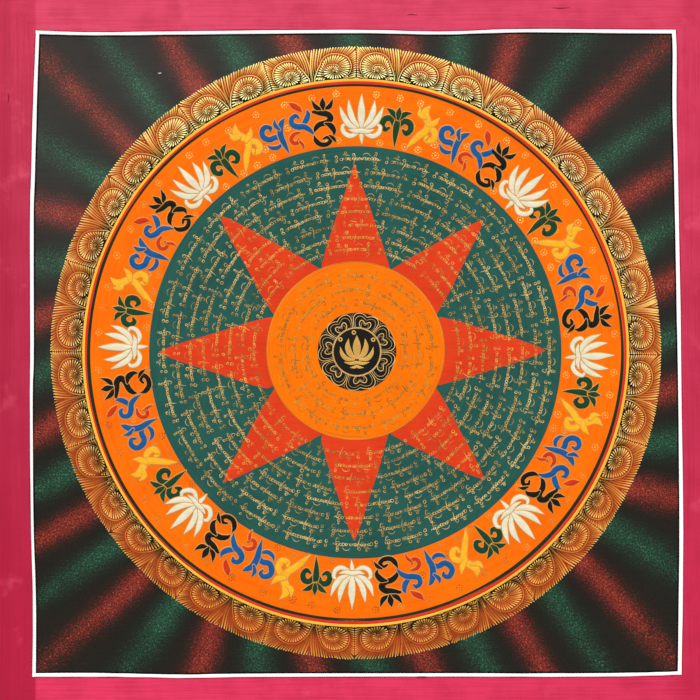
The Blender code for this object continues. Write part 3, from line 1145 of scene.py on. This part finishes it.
garland = {
    "rows": (136.9, 127.3, 117.8, 108.5, 99.5, 90.0, 81.2, 72.7),
    "centreRows": (54.0, 44.2, 34.9),
    "unit": 35.4, "drawnUnit": 36.2,  # a row's units are stretched from the drawn one to close the round
    "half": 0.22, "crown": 0.07, "above": 0.01, "centreBold": 1.25, "fainter": 0.02, "centreFaint": 0.05,
    "missing": {"beads": 0.05, "tendrils": 0.08},
    # small rings of one unit: place along the row, outward, radius
    "beads": ((0.3, 1.6, 0.85), (0.0, -1.2, 0.98), (3.7, -0.2, 0.98), (5.6, 0.0, 0.78), (7.2, 0.1, 0.84),
              (7.1, 4.0, 0.80), (9.0, 0.0, 0.72), (10.6, -0.1, 0.70), (12.3, 2.7, 1.02), (12.4, -0.1, 0.80),
              (14.8, -0.1, 0.74), (16.5, 0.0, 0.62), (18.2, -0.1, 0.70), (20.0, 0.1, 0.88), (21.8, 0.0, 0.82),
              (23.6, -0.2, 0.88), (25.6, 0.1, 0.80), (27.5, 0.3, 0.92), (27.8, 2.3, 0.80), (27.9, 4.2, 0.72),
              (29.4, -0.2, 0.70)),
    # brush turns between them: place along the row, outward, half width
    "tendrils": (((4.4, 2.5, 0.08), (5.8, 3.1, 0.22), (6.6, 2.2, 0.24), (8.4, 2.4, 0.24), (9.4, 1.7, 0.08)),
                 ((13.2, 2.3, 0.16), (13.4, 0.8, 0.24), (12.7, -1.6, 0.28), (11.9, -4.4, 0.08)),
                 ((13.4, -1.0, 0.10), (15.2, -1.1, 0.22), (17.4, -0.9, 0.08)),
                 ((18.6, 2.2, 0.08), (20.2, 3.7, 0.22), (22.6, 3.6, 0.25), (24.2, 2.0, 0.10)),
                 ((26.2, -1.5, 0.20), (27.6, -2.0, 0.26), (29.3, -1.6, 0.24), (29.0, -3.4, 0.27),
                  (28.0, -4.8, 0.22), (26.9, -3.2, 0.08)),
                 ((30.0, 0.3, 0.16), (31.0, -0.6, 0.24), (31.8, 0.6, 0.08)),
                 ((9.2, -0.9, 0.08), (10.2, -1.7, 0.20), (11.2, -1.1, 0.08))),
    # short ticks of the brush: place along the row; and one tick: along, outward, half width
    "ticks": (4.7, 8.1, 9.9, 11.5, 13.6, 15.7, 19.1, 20.9, 22.7, 24.6, 26.6, 28.6),
    "tick": ((-0.2, -0.7, 0.1), (0.0, 0.1, 0.24), (0.35, 0.9, 0.08)),
    # pale, rich and deep gold, and how flecked it is
    "gold": ((246, 220, 152), (188, 156, 88), (68, 64, 36), 0.8),
    "amber": ((242, 192, 96), (208, 138, 60), (142, 78, 34), 0.9),
    "olive": ((208, 152, 58), (184, 120, 36), (134, 92, 28), 0.9),
}


def onStar(x, y):
    number = round(math.atan2(y, x) / math.radians(45.0)) % 8
    axis = math.radians(45.0 * number)
    ahead, half, middle = starArms[number].T
    along = x * math.cos(axis) + y * math.sin(axis)
    aside = -x * math.sin(axis) + y * math.cos(axis) - np.interp(along, ahead, middle)
    return abs(aside) < np.interp(along, ahead, half)


def addBead(paint, place, s, t, radius, low, tone, half):
    turns = turnsOf(8) + dice.uniform(0, 1)
    uneven = radius * (1 + 0.14 * dice.uniform(-1, 1, 8))
    slant = dice.uniform(-0.3, 0.3)
    points = np.stack([s + uneven * (np.cos(turns) + slant * np.sin(turns)), t + uneven * np.sin(turns)], 1)
    width = half * (1 + 0.35 * np.sin(turns + dice.uniform(0, 6)))
    tones = tone + 0.15 * np.sin(turns + 1.0)
    addStroke(paint, place(points), width, low, garland["crown"], tones, closed=True)


def addRow(paint, starPaint, radius, faint, low):
    # a row on the teal and the star passes None for low, and a row on the middle disc its height
    kit = garland
    units = max(1, round(2 * math.pi * radius / kit["unit"]))
    unit = 2 * math.pi * radius / units
    stretch = unit / kit["drawnUnit"]
    bold = 1.0 if low is None else kit["centreBold"]
    start = dice.uniform(0, unit)
    for index in range(units):
        fade = dice.uniform(-0.12, 0.1) - faint
        origin = start + index * unit

        def place(points):
            return polar(radius + points[:, 1], math.pi / 2 - (origin + points[:, 0] * stretch) / radius)

        def vary(onto):
            return dice.uniform(-0.3, 0.2) if onto is starPaint else 0.0

        def groundAt(s, t):
            if low is not None:
                return paint, low, False
            if onStar(*place(np.array([[s, t]]))[0]):
                return starPaint, rounds["star"]["top"] + kit["above"], False
            return paint, rounds["tealDisc"]["top"] + kit["above"], True

        for s, t, size in kit["beads"]:
            if dice.uniform() < kit["missing"]["beads"] and s > 4:
                continue
            s, t = s + dice.uniform(-0.25, 0.25), t + dice.uniform(-0.2, 0.2)
            onto, ground, counter = groundAt(s, t)
            tone = 0.5 + fade + dice.uniform(-0.2, 0.25)
            size = size * dice.uniform(0.85, 1.12)
            if counter:
                # a dark fill in the gold's deepest tone lies inside each small ring
                counterFill = place(polar(size, turnsOf(6), (s, t)))
                addFilm(onto, [(counterFill, ground + 0.005)], filled=True, tone=-1.0)
            addBead(onto, place, s, t, size, ground, tone + vary(onto), kit["half"] * bold)
        for s in kit["ticks"]:
            s, t = s + dice.uniform(-0.2, 0.2), dice.uniform(-0.5, 0.2)
            onto, ground, _ = groundAt(s, t)
            tick = np.array(kit["tick"])
            addStroke(onto, place(tick[:, :2] + (s, t)), bold * tick[:, 2], ground, kit["crown"],
                      0.65 + fade + dice.uniform(-0.3, 0.35))
        for mark in kit["tendrils"]:
            if dice.uniform() < kit["missing"]["tendrils"]:
                continue
            rows = np.asarray(mark, float) + (dice.uniform(-0.3, 0.3), dice.uniform(-0.2, 0.2), 0.0)
            onto, ground, _ = groundAt(*rows[len(rows) // 2, :2])
            run = smoothRun(rows, 8)
            tone = 0.42 + fade + dice.uniform(-0.15, 0.2)
            width = bold * np.maximum(run[:, 2], brush["hair"])
            addStroke(onto, place(run[:, :2]), width, ground, kit["crown"], tone + vary(onto))


def makeGarlands():
    kit = garland
    outer, inner, onRed, middle = newPaint(), newPaint(), newPaint(), newPaint()
    for index, radius in enumerate(kit["rows"]):
        addRow(outer if index < 4 else inner, onRed, radius, kit["fainter"] * index, None)
    for radius in kit["centreRows"]:
        addRow(middle, middle, radius, kit["centreFaint"], rounds["centreDisc"]["top"] + kit["above"])
    gold = goldMaterial("garlandGold", *kit["gold"])
    lay("garlandOuter", outer, gold)
    lay("garlandInner", inner, gold)
    lay("garlandStar", onRed, goldMaterial("garlandAmber", *kit["amber"]))
    lay("garlandCentre", middle, goldMaterial("garlandOlive", *kit["olive"]))


makeGarlands()
print("mandala canvas: garland rows made")


# ---- ornaments of the orange band, eight times round

bandOrnaments = {
    "groups": 8, "first": 90.0,  # degrees: the first group starts at the top, and they follow clockwise
    "middle": 165.0, "outline": 0.5, "low": 0.16, "crown": 0.10, "step": 0.012,
    # name, degrees clockwise from the first, scale
    "places": (("lotus", 1.2, 0.93), ("palmette", 10.0, 0.96), ("flame", 16.8, 0.96), ("wave", 24.4, 0.91),
               ("cloud", 31.4, 0.93), ("stack", 37.1, 0.93)),
    "colours": {"white": ((227, 221, 195), (206, 195, 164)), "green": ((30, 67, 41), (22, 50, 30)),
                "yellow": ((247, 180, 38), (234, 150, 26)), "blue": ((29, 90, 148), (20, 68, 126)),
                "red": ((205, 56, 24), (176, 36, 18)), "black": ((31, 27, 22), (20, 17, 14))},
    "strokes": {"Streak": 0.35, "Blotch": 0.35, "Roughness": 0.5, "Blotch Size": 7.0, "Streak Length": 14.0},
    "weave": 0.015,
    "gold": ((220, 166, 90), (198, 134, 60), (160, 90, 36)),
}


def mirrored(*marks):
    return tuple(tuple((-x, y, half) for x, y, half in mark) for mark in marks)


# brush marks of each ornament in the order of painting: x along the band, y outward, half width
lotusSide = (
    ((2.0, -10.6, 1.1), (8.2, -13.4, 1.7), (13.2, -11.0, 1.7), (14.8, -6.4, 1.3), (12.2, -4.0, 0.8)),
    ((2.4, -7.0, 1.0), (9.0, -4.6, 2.1), (13.8, 1.6, 2.0), (17.2, 9.4, 0.1)),
    ((1.8, -6.0, 1.0), (6.4, -0.6, 2.1), (9.2, 6.4, 2.1), (10.2, 14.4, 0.1)))
palmetteSide = (
    ((0.8, -5.0, 1.4), (4.6, 0.6, 2.2), (9.0, 0.4, 2.4), (10.6, -4.2, 2.2), (7.8, -7.6, 1.8), (5.2, -5.8, 1.0)),
    ((1.0, 1.6, 0.9), (4.6, 5.8, 2.0), (9.8, 8.0, 0.1)))
ornamentMarks = {
    "lotus": {"white": (
        ((0, -10.0, 1.9), (0.3, -15.0, 1.3), (0.6, -19.6, 0.1)),
        *mirrored(*lotusSide[:2]), *lotusSide[:2], *mirrored(lotusSide[2]), lotusSide[2],
        ((0, -6.0, 1.2), (0, 0, 2.6), (0, 6.5, 2.8), (0, 13.0, 1.7), (0, 19.2, 0.1)),
        ((-9.6, -8.6, 0.4), (-5.0, -9.6, 1.5), (0, -9.0, 1.8), (5.0, -9.6, 1.5), (9.6, -8.6, 0.4)),
    )},
    "palmette": {"green": (
        *mirrored(palmetteSide[0]), palmetteSide[0],
        ((0.2, 2.0, 1.6), (0, -4.0, 2.5), (0.6, -11.0, 1.8), (1.6, -19.0, 0.1)),
        *mirrored(palmetteSide[1]), palmetteSide[1],
        ((0, 2.2, 1.2), (0, 6.4, 2.1), (0, 11.0, 0.1)),
    )},
    "flame": {"yellow": (
        ((-0.2, -3.4, 1.0), (4.6, 0.4, 2.0), (8.6, -2.4, 2.2), (8.0, -7.4, 2.2), (3.6, -8.4, 1.8),
         (2.8, -5.6, 1.0)),
        ((-9.6, -18.6, 0.1), (-6.4, -12.6, 1.8), (-2.6, -6.6, 2.3), (1.2, -1.6, 2.4), (1.8, 4.2, 2.5),
         (-1.6, 9.0, 2.8), (-2.8, 13.0, 2.4), (-0.4, 18.0, 0.1)),
        ((1.6, 3.0, 1.4), (6.0, 5.4, 2.1), (9.2, 10.4, 0.1)),
        ((-1.8, 7.6, 1.0), (-6.0, 9.2, 1.9), (-7.6, 14.2, 0.1)),
    )},
    "wave": {"blue": (
        ((3.6, -9.0, 0.8), (-1.0, -11.6, 1.8), (-5.8, -10.2, 1.5), (-8.6, -6.6, 0.1)),
        ((4.6, -6.6, 1.4), (0, -3.2, 2.3), (-5.4, -3.6, 2.4), (-9.2, -0.4, 2.4), (-9.6, 4.4, 2.3),
         (-5.8, 7.4, 2.1), (-2.0, 5.6, 1.6), (-2.8, 2.8, 0.9)),
        ((6.2, -19.2, 0.1), (5.2, -11.0, 2.0), (4.4, -3.5, 2.5), (5.8, 3.0, 2.5), (8.8, 7.2, 1.9),
         (11.6, 9.4, 0.1)),
        ((4.8, 2.0, 1.0), (2.4, 6.4, 1.7), (3.2, 11.0, 0.1)),
    )},
    "cloud": {"blue": (
        ((1.6, -0.2, 1.6), (5.2, 3.0, 2.3), (7.4, 6.6, 1.8), (7.0, 10.2, 0.1)),
        ((8.2, -11.0, 0.1), (6.0, -6.0, 1.8), (2.0, -2.2, 2.3), (-2.6, -1.0, 2.4), (-6.4, 1.8, 2.2),
         (-6.0, 6.0, 2.0), (-2.4, 7.6, 1.6), (-0.8, 5.4, 0.9)),
    ), "red": (
        ((3.0, 9.0, 0.2), (0.8, 12.2, 2.0), (-2.4, 15.6, 2.3), (-4.6, 18.2, 0.5)),
        ((-2.6, -5.8, 0.7), (-7.0, -6.0, 1.5), (-10.0, -9.2, 1.6), (-8.8, -13.0, 1.6), (-5.0, -13.4, 1.4),
         (-4.2, -10.6, 0.8)),
        ((-4.0, -12.6, 1.0), (-2.4, -15.6, 1.1), (-2.0, -19.6, 0.1)),
    )},
    "stack": {"black": (
        ((-7.4, 8.4, 1.2), (-2.2, 7.0, 2.2), (3.2, 5.6, 2.4), (5.4, 2.2, 2.3), (2.0, -0.4, 2.2),
         (-3.4, -1.6, 2.2), (-6.8, -4.4, 1.7), (-8.0, -7.6, 0.1)),
        ((1.0, -1.4, 0.8), (5.0, -3.0, 2.3), (7.4, -7.2, 1.7), (6.4, -11.0, 0.1)),
        ((-8.2, -9.2, 0.1), (-7.2, -13.4, 1.8), (-3.6, -17.0, 1.9), (1.2, -17.2, 1.8), (4.2, -14.2, 1.5),
         (1.6, -11.8, 1.2), (-1.0, -12.8, 0.8)),
        ((3.4, -10.6, 0.6), (6.2, -12.8, 1.4), (8.6, -16.6, 0.1)),
        ((-1.0, 9.8, 0.8), (-5.2, 11.8, 1.9), (-8.2, 17.2, 0.1)),
        ((1.0, 9.8, 0.8), (5.2, 11.8, 1.9), (8.2, 17.2, 0.1)),
        ((0, 9.6, 0.8), (0, 14.0, 2.4), (0, 18.8, 0.1)),
    )},
}

flowerets = {
    # degrees clockwise from each lotus, distance from the middle
    "places": ((-4.3, 183.4), (4.4, 183.0), (9.7, 182.2), (14.6, 181.6), (21.6, 182.6), (28.6, 182.4),
               (35.0, 183.0), (-4.8, 149.6), (6.4, 149.4), (13.2, 149.2), (16.9, 149.6), (21.6, 149.8),
               (36.4, 149.4), (13.4, 164.6), (20.6, 157.4), (28.2, 165.4), (4.9, 156.0)),
    "petals": 8, "reach": 2.1, "dot": 0.57, "middleDot": 1.3, "low": 0.155, "crown": 0.07,
    "tone": 0.46, "toneSwing": 0.34,  # painted sheen: the gold is paler round the top and duller round the left and the foot
    "gold": ((246, 202, 106), (224, 154, 60), (150, 80, 20)),
}


def turnIn(group, offset, loose):
    # the direction of a place in one of the eight groups, loose by so many degrees
    edge = bandOrnaments
    return math.radians(edge["first"] - 360.0 / edge["groups"] * group - offset + dice.uniform(-loose, loose))


def makeOrnaments():
    fills = {}
    outline = newPaint()
    edge = bandOrnaments
    for group in range(edge["groups"]):
        for name, offset, scale in edge["places"]:
            turn = turnIn(group, offset, 0.25)
            tilt = turn - math.pi / 2 + math.radians(dice.uniform(-4, 4))
            scale = scale * dice.uniform(0.95, 1.04)
            centre = (edge["middle"] + dice.uniform(-0.8, 0.8)) * unitAt(turn)
            ahead, out = unitAt(tilt), np.array([-math.sin(tilt), math.cos(tilt)])
            for colour, marks in ornamentMarks[name].items():
                paint = fills.setdefault(colour, newPaint())
                for order, mark in enumerate(marks):
                    rows = np.asarray(mark, float) * scale
                    rows[:, :2] += dice.uniform(-0.25, 0.25, (len(rows), 2))
                    rows[:, :2] = centre + rows[:, :1] * ahead + rows[:, 1:2] * out
                    # each mark has its gold edge, and lies over the one before
                    low = edge["low"] + edge["step"] * order
                    run = brushMark(rows, wider=edge["outline"] * dice.uniform(0.8, 1.2))
                    addStroke(outline, run[:, :2], run[:, 2], low, edge["crown"], 0.6, fullMark, level=True)
                    run = brushMark(rows)
                    low = low + edge["step"] / 2
                    addStroke(paint, run[:, :2], run[:, 2], low, edge["crown"], 0.5, fullMark, level=True)
    for colour, paint in fills.items():
        name = "band" + colour.title()
        lay(name, paint, paintMaterial(name, *edge["colours"][colour], edge["strokes"], edge["weave"]))
    lay("bandOutlines", outline, goldMaterial("outlineGold", *edge["gold"]))


def makeFlowerets():
    paint = newPaint()
    kit = flowerets
    for group in range(bandOrnaments["groups"]):
        for offset, radius in kit["places"]:
            turn = turnIn(group, offset, 0.4)
            centre = (radius + dice.uniform(-0.6, 0.6)) * unitAt(turn)
            # painted sheen: a floweret's tone rises towards the top right and falls round the left and the foot
            tone = kit["tone"] + kit["toneSwing"] * math.sin(turn + 0.4) + dice.uniform(-0.14, 0.2)
            addDot(paint, centre, kit["dot"] * kit["middleDot"], kit["low"], kit["crown"], tone, 7)
            for petal in turnsOf(kit["petals"]) + dice.uniform(0, 1):
                spot = centre + kit["reach"] * dice.uniform(0.9, 1.1) * unitAt(petal)
                addDot(paint, spot, kit["dot"] * dice.uniform(0.8, 1.2), kit["low"], kit["crown"],
                       tone + dice.uniform(-0.15, 0.05), 6)
    lay("flowerets", paint, goldMaterial("flowerGold", *kit["gold"]))


makeOrnaments()
makeFlowerets()
print("mandala canvas: band ornaments made")


# ---- the medallion

medallion = {
    "petals": (73.0, 26.0, -26.0, -84.0, -137.0, 173.0, 123.0),  # where each petal points
    "step": 51.4,  # degrees from one petal to the next for which its lines are given
    "low": 0.345, "crown": 0.06,
    "ring": {"reach": 17.0, "half": 0.54, "above": 0.01, "tone": 0.6, "unsteady": 0.08, "waves": 6},
    # lines of one petal, from its foot to the notch: half width, tone; degrees off its axis and reach
    "lines": (
        (0.21, 0.9, ((23.7, 17.4), (24.3, 21.0), (23.2, 24.4), (18.6, 26.9), (11.5, 27.4), (5.0, 26.6),
                     (0.0, 25.4))),
        (0.15, 0.65, ((19.9, 17.4), (21.0, 20.4), (19.8, 23.0), (15.6, 25.0), (10.0, 25.4), (4.6, 24.4),
                     (0.0, 23.2))),
        (0.26, 0.85, ((8.4, 17.4), (11.6, 19.3), (11.9, 21.2), (8.8, 22.6), (4.8, 22.1), (1.6, 21.1),
                      (0.0, 20.4))),
        (0.13, 0.45, ((5.6, 17.4), (7.8, 19.2), (7.6, 20.4), (5.4, 21.0), (2.6, 20.3), (0.0, 19.2))),
        (0.13, 0.35, ((25.4, 24.2), (25.0, 26.0), (22.4, 27.6))),
    ),
    "taper": ((0, 0.2, 0.7, 1), (0.7, 1, 1, 0.8)),  # along a line: place, share of its half width
    "lineGold": ((242, 206, 140), (186, 142, 80), (78, 56, 30), 0.6),
    # a thin and broken line along the rim: its arcs, their lengths in radians, half width, tones
    "rim": {"reaches": (27.75,), "arcs": 9, "lengths": (0.35, 0.62), "points": 9, "half": 0.2, "from": 0.15,
            "low": 0.325, "crown": 0.06, "tones": (0.2, 0.7)},
}

# gold lotus in the middle of the medallion
middleLotus = {
    # x, y, half width
    "marks": (
        ((0, -4.5, 0.8), (0, 0.6, 2.6), (0, 5.6, 2.5), (0, 11.8, 0.1)),
        ((-1.2, -4.5, 0.7), (-4.8, -1.2, 2.0), (-6.5, 3.8, 1.8), (-5.8, 9.4, 0.1)),
        ((1.2, -4.5, 0.7), (4.8, -1.2, 2.0), (6.5, 3.8, 1.8), (5.8, 9.4, 0.1)),
        ((-2.0, -5.6, 0.7), (-7.2, -4.8, 1.6), (-10.4, -1.4, 1.4), (-11.8, 3.6, 0.1)),
        ((2.0, -5.6, 0.7), (7.2, -4.8, 1.6), (10.4, -1.4, 1.4), (11.8, 3.6, 0.1)),
        ((-8.6, -7.4, 0.3), (-4.4, -8.2, 1.1), (0, -7.6, 1.2), (4.4, -8.2, 1.1), (8.6, -7.4, 0.3)),
        ((-4.6, -11.2, 0.2), (-1.8, -11.0, 0.9), (0, -10.2, 0.9), (1.8, -11.0, 0.9), (4.6, -11.2, 0.2)),
    ),
    "spacing": 0.5, "crown": 0.11, "step": 0.003, "tone": 0.6,
    "beads": ((-2.1, 13.7), (11.6, 8.6), (-11.6, 8.8)),
    "bead": {"reach": 1.15, "half": 0.42, "crown": 0.08, "tone": 0.75},
    "gold": ((232, 192, 112), (196, 150, 72), (156, 108, 42), 0.9),
}

centreEdge = {
    "inset": 0.1, "half": 0.45, "sunk": 0.02, "crown": 0.06, "tone": 0.4, "toneSwing": 0.2,
    # thin lines that guided the rows on the orange ground
    "guides": {"reaches": (60.8, 49.6, 40.8, 32.0), "arcs": 5, "lengths": (0.5, 0.95), "points": 16,
               "half": 0.16, "from": 0.1, "low": 0.30, "crown": 0.03, "tones": (0.0, 0.2)},
    "gold": ((226, 160, 66), (206, 130, 40), (176, 92, 22)),
}


def addArcs(paint, kit, centre):
    for reach in kit["reaches"]:
        for start in turnsOf(kit["arcs"]) + dice.uniform(0, 1):
            along = start + np.linspace(0, dice.uniform(*kit["lengths"]), kit["points"])
            width = kit["half"] * np.sin(np.linspace(kit["from"], 3.0, kit["points"]))
            addStroke(paint, polar(reach, along, centre), width, kit["low"], kit["crown"],
                      dice.uniform(*kit["tones"]))


def makeMedallionLines(centre):
    lines = newPaint()
    kit, ring = medallion, medallion["ring"]
    turns = turnsOf(rounds["medallion"]["count"])
    run = polar(ring["reach"] + waver(turns, ring["unsteady"], ring["waves"]), turns, centre)
    addStroke(lines, run, ring["half"], kit["low"] + ring["above"], kit["crown"], ring["tone"], closed=True)
    addArcs(lines, kit["rim"], centre)
    petals = sorted(kit["petals"])
    for index, axis in enumerate(petals):
        before = (axis - petals[index - 1]) % 360.0
        after = (petals[(index + 1) % len(petals)] - axis) % 360.0
        for half, tone, rows in kit["lines"]:
            run = smoothRun(rows, 22)
            width = half * np.interp(np.linspace(0, 1, 22), *kit["taper"])
            for way, stretch in ((1, after), (-1, before)):
                path = polar(run[:, 1], np.radians(axis + way * run[:, 0] * stretch / kit["step"]), centre)
                addStroke(lines, path, width, kit["low"], kit["crown"], tone + dice.uniform(-0.15, 0.15))
    lay("medallionLines", lines, goldMaterial("medallionLines", *kit["lineGold"]))


def makeMiddleLotus(centre):
    flower = newPaint()
    kit, bead = middleLotus, middleLotus["bead"]
    low = medallion["low"]
    for order, mark in enumerate(kit["marks"]):
        run = brushMark(np.asarray(mark, float) + (*centre, 0.0), kit["spacing"])
        addStroke(flower, run[:, :2], run[:, 2], low + kit["step"] * order, kit["crown"],
                  kit["tone"] + dice.uniform(-0.05, 0.05), broadMark)
    for x, y in kit["beads"]:
        run = polar(bead["reach"], turnsOf(12), (centre[0] + x, centre[1] + y))
        addStroke(flower, run, bead["half"], low, bead["crown"], bead["tone"], closed=True)
    lay("middleLotus", flower, goldMaterial("medallionGold", *kit["gold"]))


def makeCentreEdge():
    edge = newPaint()
    kit, disc = centreEdge, rounds["centreDisc"]
    turns = turnsOf(disc["count"])
    radius = disc["radius"] - kit["inset"] + waver(turns, disc["unsteady"], disc["waves"])
    addStroke(edge, polar(radius, turns, disc["centre"]), kit["half"], disc["top"] - kit["sunk"], kit["crown"],
              kit["tone"] + kit["toneSwing"] * np.sin(turns * 3), closed=True)
    addArcs(edge, kit["guides"], disc["centre"])
    lay("centreEdge", edge, goldMaterial("centreEdge", *kit["gold"]))


drawnDisc("medallion", roundPaint("medallionBlack"))
makeMedallionLines(rounds["medallion"]["centre"])
makeMiddleLotus(rounds["medallion"]["centre"])
makeCentreEdge()
print("mandala canvas: medallion made")


# ---- small accidents of use: a nick, a slub, two dashes and lint

accidents = {
    # x, y, half width along each mark; height over the cloth, crown
    "driedMarks": (
        (((43.0, -230.2, 0.6), (46.0, -229.8, 1.1), (49.5, -230.2, 0.5)), 0.20, 0.06),
        (((-246.6, 184.0, 0.15), (-246.2, 180.0, 0.5), (-246.7, 175.5, 0.15)), 0.0, 0.16),
        (((139.0, 243.6, 0.2), (144.0, 243.2, 0.5), (151.0, 243.6, 0.2)), 0.0, 0.06),
        (((36.0, 238.6, 0.2), (39.0, 238.8, 0.5), (43.0, 238.4, 0.2)), 0.0, 0.06),
    ),
    "lint": (
        (((-140.6, 197.6, 0.08), (-139.4, 197.3, 0.32), (-138.0, 197.7, 0.1)), 0.085, 0.1),
    ),
    "spacing": 0.5,
    "paints": {"driedMarks": ("driedCrimson", (150, 26, 50), (120, 16, 40)),
               "lint": ("lintWhite", (232, 214, 212), (200, 170, 170))},
    "strokes": {"Streak": 0.2, "Blotch": 0.3},
}


def makeAccidents():
    for name, paintOf in accidents["paints"].items():
        paint = newPaint()
        for rows, low, crown in accidents[name]:
            run = brushMark(rows, accidents["spacing"])
            addStroke(paint, run[:, :2], run[:, 2], low, crown)
        lay(name, paint, paintMaterial(*paintOf, accidents["strokes"]))


makeAccidents()
print("mandala canvas: small marks made")


# ---- floor, light and camera

studio = {
    "floorSize": 5.0, "floorDrop": 0.0002, "floor": (226, 224, 220), "floorWorn": (220, 218, 214),
    "skyAbove": 0.34, "skyAround": 1.25,  # the light comes from around, not from behind the camera
    "skyFoot": 0.75, "skyTop": 1.2, "skyColour": (1.0, 0.985, 0.965, 1.0),
    "sun": 0.85, "sunFrom": (-0.45, 0.85, 1.15), "sunWidth": 35.0, "sunColour": (1.0, 0.97, 0.93),
    "target": (-0.00453, 0.00128, 0.001), "distance": 0.75,
    "lens": 54.44, "sensor": 36.0,
}


def makeFloor():
    bpy.ops.mesh.primitive_plane_add(size=studio["floorSize"], location=(0, 0, -studio["floorDrop"]))
    floor = bpy.context.active_object
    floor.name = "floor"
    material, tree, shader = startMaterial("paleFloor", 0.2)
    worn = remap(tree, noise(tree, addNode(tree, "TexCoord", {})["Object"], 6.0, 3.0), 0.35, 0.65)
    colour = mixColour(tree, worn, linear(*studio["floor"]), linear(*studio["floorWorn"]))
    setInputs(tree, shader, {"Base Color": colour, "Roughness": 0.9})
    floor.data.materials.append(material)


def makeSky(scene):
    scene.world = bpy.data.worlds.new("studioSky")
    scene.world.use_nodes = True
    tree = scene.world.node_tree
    split = splitOf(tree, addNode(tree, "TexCoord", {})["Generated"])
    around = remap(tree, split[2], 0.97, 0.72, studio["skyAbove"], studio["skyAround"])
    alongY = remap(tree, split[1], -0.7, 0.6, studio["skyFoot"], studio["skyTop"])
    strength = times(tree, around, alongY)
    setInputs(tree, tree.nodes["Background"], {"Color": studio["skyColour"], "Strength": strength})


def makeSun(scene):
    light = bpy.data.lights.new("softSun", "SUN")
    light.energy = studio["sun"]
    light.angle = math.radians(studio["sunWidth"])
    light.color = studio["sunColour"]
    lamp = bpy.data.objects.new("softSun", light)
    scene.collection.objects.link(lamp)
    x, y, z = studio["sunFrom"]
    lamp.location = (x, y, z)
    lamp.rotation_euler = (math.atan2(-y, z), math.asin(x / math.sqrt(x * x + y * y + z * z)), 0.0)


def makeCamera(scene):
    # looks straight down on the painting
    camera = bpy.data.objects.new("camera", bpy.data.cameras.new("camera"))
    camera.data.lens = studio["lens"]
    camera.data.sensor_width = studio["sensor"]
    camera.data.clip_start = 0.01
    x, y, z = studio["target"]
    camera.location = (x, y, z + studio["distance"])
    scene.collection.objects.link(camera)
    scene.camera = camera
    scene.view_settings.view_transform = "Standard"


makeFloor()
makeSky(bpy.context.scene)
makeSun(bpy.context.scene)
makeCamera(bpy.context.scene)
print("mandala canvas: studio ready")
